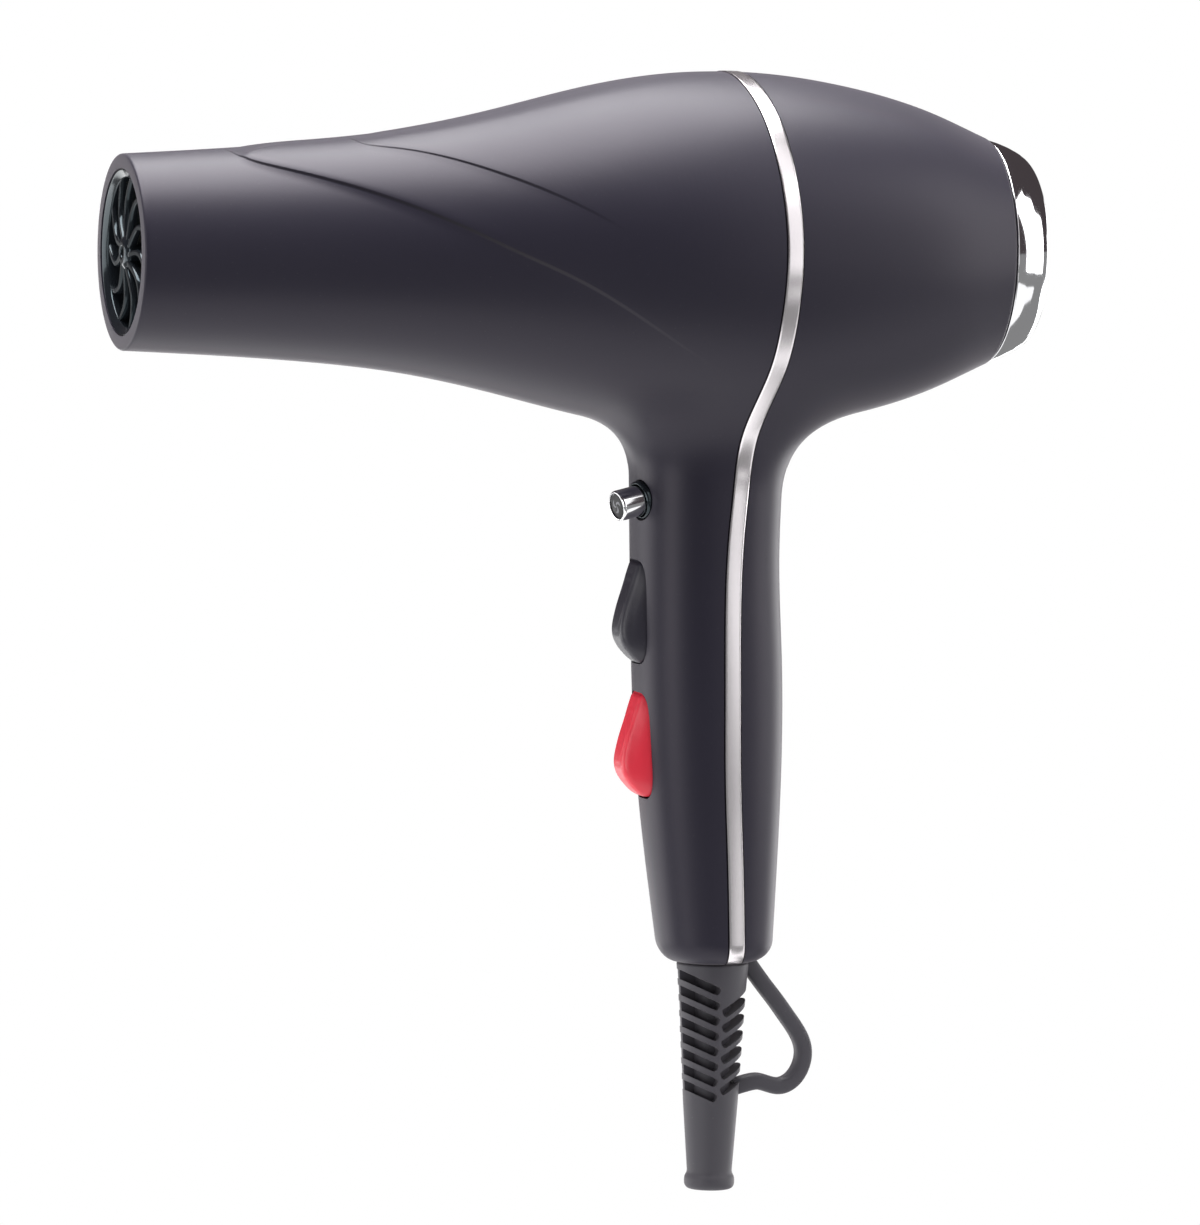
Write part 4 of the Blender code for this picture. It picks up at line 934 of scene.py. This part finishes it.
# ---------------------------------------------------------------- cool-shot button
# A chromed barrel that slides in a glossy black collar. Its end is a dark disc in a bright rim, marked
# with a plain three-armed swirl.
collar = turned("button_collar", [
    (-0.0032, 0.0041), (-0.0032, 0.00475), (0.0003, 0.00475), (0.0007, 0.0044), (0.0007, 0.0041),
], 72, 0.0003, BUTTON, PRESS)
fit(collar, "housing", gloss_black, "gloss_black", "button_bezel")
button = turned("button_barrel", [
    (-0.0030, 0.0), (-0.0030, 0.0030), (-0.0050, 0.0030), (-0.0050, 0.0038), (0.0065, 0.0038),
    (0.0069, 0.0035), (0.0069, 0.0032), (0.0063, 0.0032), (0.0063, 0.0),
], 72, 0.0004, BUTTON, PRESS)
fit(button, "cool_shot", chrome, "chrome", "cool_shot_button")

DISC_R, DISC_BACK, DISC_FRONT, DISC_DOME = 0.0030, 0.0061, 0.0066, 0.0003
SWIRL_ARMS, SWIRL_BEND, SWIRL_COLOUR = 3.0, 2.6, (0.20, 0.20, 0.22, 1)


def button_disc(name):
    """The dark end of the button: a shallow dome, radius by turn, whose UV map is its own flat plan."""
    ahead = np.array(PRESS)
    side = np.array(PRESS.orthogonal().normalized())
    other = np.cross(ahead, side)
    share = even(0, 1, 20)[:, None]
    turn = even(0, 2 * math.pi, 49)[None, :]
    plan = np.stack([share * np.cos(turn), share * np.sin(turn)], -1)
    flat = plan[..., :1] * side * DISC_R + plan[..., 1:] * other * DISC_R
    dome = (DISC_FRONT + DISC_DOME * (1 - share**2))[..., None] * ahead
    grid = np.array(BUTTON) + flat + dome
    under = np.array(BUTTON) + flat + DISC_BACK * ahead
    wall = np.stack([grid[-1], under[-1]])
    uv = np.concatenate([plan.reshape(-1, 2)] * 2 + [np.tile(plan[-1], (2, 1))])
    return piece(name, [grid, under, wall], uv=uv)


def swirl(material):
    """Paints three curved arms on the disc: they lie where the sine of three times the turn, shifted by
    the radius, is high, between two radii."""
    tree = material.node_tree
    colour = tree.nodes["Principled BSDF"].inputs["Base Color"]
    plain = colour.links[0].from_socket
    plan = node(tree, "ShaderNodeUVMap", uv_map="piece").outputs[0]
    parts = node(tree, "ShaderNodeSeparateXYZ", plan).outputs
    turn = maths(tree, "ARCTAN2", parts[1], parts[0])
    radius = node(tree, "ShaderNodeVectorMath", plan, operation="LENGTH").outputs["Value"]
    shifted = maths(tree, "MULTIPLY_ADD", radius, SWIRL_BEND, turn)
    wave = maths(tree, "SINE", maths(tree, "MULTIPLY", shifted, SWIRL_ARMS))
    mark = maths(tree, "MULTIPLY", ramp(tree, wave, 0.35, 0.6), ramp(tree, radius, 0.62, 0.54, "SMOOTHSTEP"))
    feed(tree, colour, blend(tree, mark, plain, SWIRL_COLOUR))


disc_black = finish("marked_black_disc", (0.008, 0.008, 0.010), 0.38, depth=0.03, Specular_IOR_Level=0.25)
swirl(disc_black)
fit(button_disc("button_disc"), "cool_shot", disc_black, "gloss_black", "cool_shot_face")

# ---------------------------------------------------------------- rockers
# Two moulded caps, black for the heat and red for the speed, that tilt on pins across the handle. The
# thumb's face dips below the top and swells at the bottom, with a fine oval line sunk into it.
CAP_BACK = -0.0015  # of the pin's x
CAP_TALL = 0.0130
CAP_BASE_HALF = 0.0066
CAP_FACE = [  # (height, x ahead of the pin, half width)
    (0.0130, -0.0064, 0.0034), (0.0122, -0.0073, 0.0041), (0.0108, -0.0080, 0.0045),
    (0.0092, -0.0085, 0.0046), (0.0062, -0.0094, 0.0045), (0.0018, -0.0108, 0.0045),
    (-0.0014, -0.0116, 0.0046), (-0.0044, -0.0120, 0.0048), (-0.0066, -0.0117, 0.0050),
    (-0.0090, -0.0105, 0.0050), (-0.0110, -0.0088, 0.0047), (-0.0122, -0.0075, 0.0042),
    (-0.0130, -0.0064, 0.0034),
]
CAP_STEP = 0.0006  # of the rounded ends
OVAL_TALL, OVAL_WIDE, OVAL_MIDDLE = 0.0082, 0.0029, 0.0008
OVAL_LINE, OVAL_DEPTH = 0.00022, 0.00016
NOTCH_Z, NOTCH_LINE, NOTCH_DEPTH = 0.0121, 0.00035, 0.00022


def rocker_cap(name, pin):
    """A cap as a stack of sections from bottom to top. Each is a superellipse of power 6 between the back
    and the face, narrows towards the face, and is as wide as a superellipse of power 4 seen from ahead
    allows. Sections shrink round the ends in a rounded step, and the face sinks a little along an oval
    line and across a notch near its top."""
    share = np.sin(even(-0.5, 0.5, 121) * math.pi)
    height = share * CAP_TALL
    face, half = np.moveaxis(spline(CAP_FACE)(height), -1, 0)
    angle = even(0, 2 * math.pi, 97)
    wide, deep = superellipse(angle, 6)
    shrink = (1 - np.clip((np.abs(height) - (CAP_TALL - CAP_STEP)) / CAP_STEP, 0, 1) ** 2.5) ** 0.5
    ahead = (deep[None] + 1) / 2
    taper = smooth((ahead - 0.35) / 0.65)
    base = CAP_BASE_HALF * (1 - np.abs(height[:, None] / 0.0134) ** 4) ** 0.25
    width = base + (np.minimum(half[:, None], base) - base) * taper
    x = CAP_BACK + (face[:, None] - CAP_BACK) * ahead
    y = wide[None] * width
    ring = np.hypot((height[:, None] - OVAL_MIDDLE) / OVAL_TALL, y / OVAL_WIDE)
    oval = np.exp(-((ring - 1) * OVAL_WIDE / OVAL_LINE) ** 2)
    notch = np.exp(-((height[:, None] - NOTCH_Z) / NOTCH_LINE) ** 2)
    x = x + (OVAL_DEPTH * oval + NOTCH_DEPTH * notch) * (deep[None] > 0.9)
    inset = CAP_STEP * (1 - shrink)[:, None]
    x = x + inset * deep[None]
    y = y - inset * wide[None]
    grid = np.stack([pin.x + x, pin.y + y, pin.z + height[:, None] + 0 * x], -1)
    return piece(name, [grid] + end_caps(grid), sharp=60)


heat_cap, speed_cap = rocker_cap("heat_cap", HEAT_PIN), rocker_cap("speed_cap", SPEED_PIN)
cap_black = finish("black_cap_plastic", (0.024, 0.022, 0.034), 0.40, grain=2200.0, depth=0.12)
cap_red = finish("red_cap_plastic", (0.80, 0.032, 0.060), 0.36, cloud=0.06, grain=2200.0, depth=0.10,
                 dust=0.0, Subsurface_Weight=0.08, Subsurface_Radius=(0.0006, 0.0002, 0.0002))
fit(heat_cap, "heat_rocker", cap_black, "black_plastic", "heat_rocker")
fit(speed_cap, "speed_rocker", cap_red, "red_plastic", "speed_rocker")

# ---------------------------------------------------------------- cord sleeve and hang loop
# One soft rubber moulding. A tapering sleeve guards the cord, with sloping slots on each side of a middle
# web so that it can bend, and a round-edged band loops from its top to below the slots.
SLEEVE_X = FOOT_X + 0.0003
SLEEVE_TOP = FOOT_Z - GAP
SLEEVE_CORE = 0.0046
SLOT_REACH, SLOT_X = 0.0110, 0.0060
sleeve = turned("cord_sleeve", [
    (-0.0582, 0.0036), (-0.0582, 0.0084), (-0.0604, 0.0084), (-0.0604, 0.0065), (SLEEVE_TOP, 0.0065),
    (SLEEVE_TOP, 0.0089), (-0.0720, 0.0083), (-0.0880, 0.0074), (-0.1000, 0.0067), (-0.1166, 0.0055),
    (-0.1178, 0.0062), (-0.1197, 0.0062), (-0.1207, 0.0054), (-0.1207, 0.0036),
], 96, 0.0007, (SLEEVE_X, 0, 0), (0, 0, 1), 5)


def slots(side, count, first_z, pitch, slope, tall, web):
    """Cutters for one side's slots: a column of sloping round-edged bars, less the core round the cord and
    less a web of this half width in the middle plane."""
    size = (SLOT_REACH / math.cos(slope), 0.024, tall)
    bars = [bar(size, (SLEEVE_X + side * SLOT_X, 0, first_z - row * pitch), (0, slope, 0), 0.0007)
            for row in range(count)]
    kept = [turned("core", [(-0.13, 0), (-0.05, 0), (-0.05, SLEEVE_CORE), (-0.13, SLEEVE_CORE)], 64,
                   start=(SLEEVE_X, 0, 0), axis=(0, 0, 1))]
    if web:
        kept.append(bar((0.03, 2 * web, 0.09), (SLEEVE_X, 0, -0.085)))
    return carve(join("slots", bars), kept)


carve(sleeve, [slots(-1, 8, -0.0687, 0.00380, 0.43, 0.0021, 0.0007),
               slots(1, 6, -0.0737, 0.00388, -0.50, 0.0023, 0)])
shade(sleeve, 40)
rubber = finish("soft_black_rubber", (0.060, 0.057, 0.068), 0.55, cloud=0.12, grain=1800.0, depth=0.15,
                dust=0.05, Specular_IOR_Level=0.35, Sheen_Weight=0.15, Sheen_Roughness=0.5,
                Sheen_Tint=(1.0, 0.95, 0.97, 1))
fit(sleeve, "housing", rubber, "black_rubber", "strain_relief")

LOOP_PATH = [
    (0.0108, -0.0638), (0.0155, -0.0701), (0.0187, -0.0741), (0.0219, -0.0784), (0.0251, -0.0831),
    (0.0264, -0.0874), (0.0256, -0.0914), (0.0234, -0.0944), (0.0206, -0.0957), (0.0180, -0.0954),
    (0.0154, -0.0946), (0.0129, -0.0946), (0.0085, -0.0957),
]
LOOP_THICK, LOOP_HALF = 0.0041, 0.0024


def loop_band(name):
    """A superellipse section of power 3.5 carried along a smooth path in the middle plane, square to it."""
    path = spline([(t, *p) for t, p in zip(even(0, 1, len(LOOP_PATH)), LOOP_PATH)])(even(0, 1, 121))
    ahead = np.gradient(path, axis=0)
    aside = np.stack([-ahead[:, 1], ahead[:, 0]], -1) / np.hypot(*ahead.T)[:, None]
    angle = even(0, 2 * math.pi, 33)
    thick, wide = superellipse(angle, 3.5)
    thick, wide = thick * LOOP_THICK / 2, wide * LOOP_HALF
    x = path[:, :1] + aside[:, :1] * thick
    z = path[:, 1:] + aside[:, 1:] * thick
    grid = np.stack([x, wide + 0 * x, z], -1)
    return piece(name, [grid] + end_caps(grid))


fit(loop_band("loop_band"), "housing", rubber, "black_rubber", "hang_loop")

# ---------------------------------------------------------------- screws
# Zinc-plated pan-head screws with a cross recess. Two join the shells from the back of the handle, and
# two smaller ones hold the cord clamp.
steel = finish("zinc_plated_steel", (0.60, 0.60, 0.62), 0.28, cloud=0.10, spread=0.12, grain=700.0,
               depth=0.05, Metallic=1.0)
SCREW_HEAD_X = 0.0118
for label, height in zip(("upper", "lower"), SCREW_HEIGHTS):
    spot = (SCREW_HEAD_X, 0, height)
    screw = turned("housing_screw_" + label + "_fine", [
        (0.0, 0.0), (0.0, 0.0018), (-0.0006, 0.0026), (-0.0016, 0.0026), (-0.0016, 0.0013), (-0.0140, 0.0013),
        (-0.0152, 0.0),
    ], 48, 0.0003, spot)
    carve(screw, [bar((0.0016, *arm), spot, edge=0.0001) for arm in ((0.0026, 0.0006), (0.0006, 0.0026))])
    fit(shade(screw), "housing", steel, "steel", "housing_screw_" + label)

# ---------------------------------------------------------------- heater
# Two nickel-chrome wires wound on crossed mica boards inside a mica tube, with a brass thermostat and a
# fuse on the flat board. Heat has left the wires brown and the mica mottled.
WIRE_R, WINDING_R = 0.0007, 0.0154


def winding(name, first_x, last_x, turns):
    """A round wire carried along a helix about the barrel's axis that is pulled in between the boards' four
    edges: its radius falls by a twelfth of the squared sine of twice the turn."""
    turn = even(0, 2 * math.pi * turns, 56 * turns + 1)
    radius = WINDING_R * (1 - np.sin(2 * turn) ** 2 / 12) - 0.0003
    x = even(first_x, last_x, len(turn))
    path = np.stack([x, radius * np.sin(turn), AXIS_Z + radius * np.cos(turn)], -1)
    ahead = np.gradient(path, axis=0)
    ahead /= np.linalg.norm(ahead, axis=1)[:, None]
    side = np.cross(ahead, [1.0, 0, 0])
    side /= np.linalg.norm(side, axis=1)[:, None]
    other = np.cross(ahead, side)
    angle = even(0, 2 * math.pi, 11)[None, :, None]
    grid = path[:, None] + WIRE_R * 0.6 * (np.cos(angle) * side[:, None] + np.sin(angle) * other[:, None])
    return piece(name, [grid] + end_caps(grid))


hot_wire = finish("heated_nickel_wire", (0.34, 0.27, 0.23), 0.38, cloud=0.9, spread=0.2, grain=900.0,
                  depth=0.1, Metallic=1.0)
for label, first_x, last_x in (("front", -0.1310, -0.1060), ("rear", -0.1000, -0.0760)):
    fit(winding(label + "_winding", first_x, last_x, 9), "housing", hot_wire, "heating_wire",
        "heating_coil_" + label)

# ---------------------------------------------------------------- pieces shown as they were made
# The pieces inside the shells keep their shapes, and each gets the finish of what it is made of.
mica = finish("mottled_mica", (0.52, 0.47, 0.36), 0.45, cloud=0.7, spread=0.2, grain=600.0, depth=0.25,
              dust=0.1)
brass = finish("brass_can", (0.72, 0.52, 0.24), 0.30, spread=0.12, grain=500.0, depth=0.05, Metallic=1.0)
blue_dip = finish("dipped_blue_coat", (0.05, 0.14, 0.42), 0.28, grain=300.0, depth=0.10, dust=0.02)
brown_lead = finish("brown_insulation", (0.15, 0.060, 0.028), 0.42, grain=1500.0)
blue_lead = finish("blue_insulation", (0.035, 0.10, 0.36), 0.42, grain=1500.0)
motor_can = finish("drawn_motor_can", (0.50, 0.50, 0.52), 0.34, cloud=0.2, spread=0.15, grain=300.0,
                   depth=0.06, Metallic=1.0)
KEPT = {
    "heat_shield": mica, "heater_board_flat": mica, "heater_board_upright": mica,
    "thermostat": brass, "thermal_fuse": steel, "motor": motor_can, "motor_shaft": steel,
    "fan_shroud": black_plastic, "fan_impeller": black_plastic, "cool_shot_spring": steel,
    "cool_shot_switch": black_plastic, "heat_rocker_pin": steel, "speed_rocker_pin": steel,
    "switch_carrier": black_plastic, "heat_switch": black_plastic, "speed_switch": black_plastic,
    "suppression_capacitor": blue_dip, "cord_clamp": black_plastic, "clamp_screw_left": steel,
    "clamp_screw_right": steel, "lead_live": brown_lead, "lead_neutral": blue_lead,
}
for name, material in KEPT.items():
    nodes[name].data.materials.clear()
    nodes[name].data.materials.append(material)
    shade(nodes[name], 30)
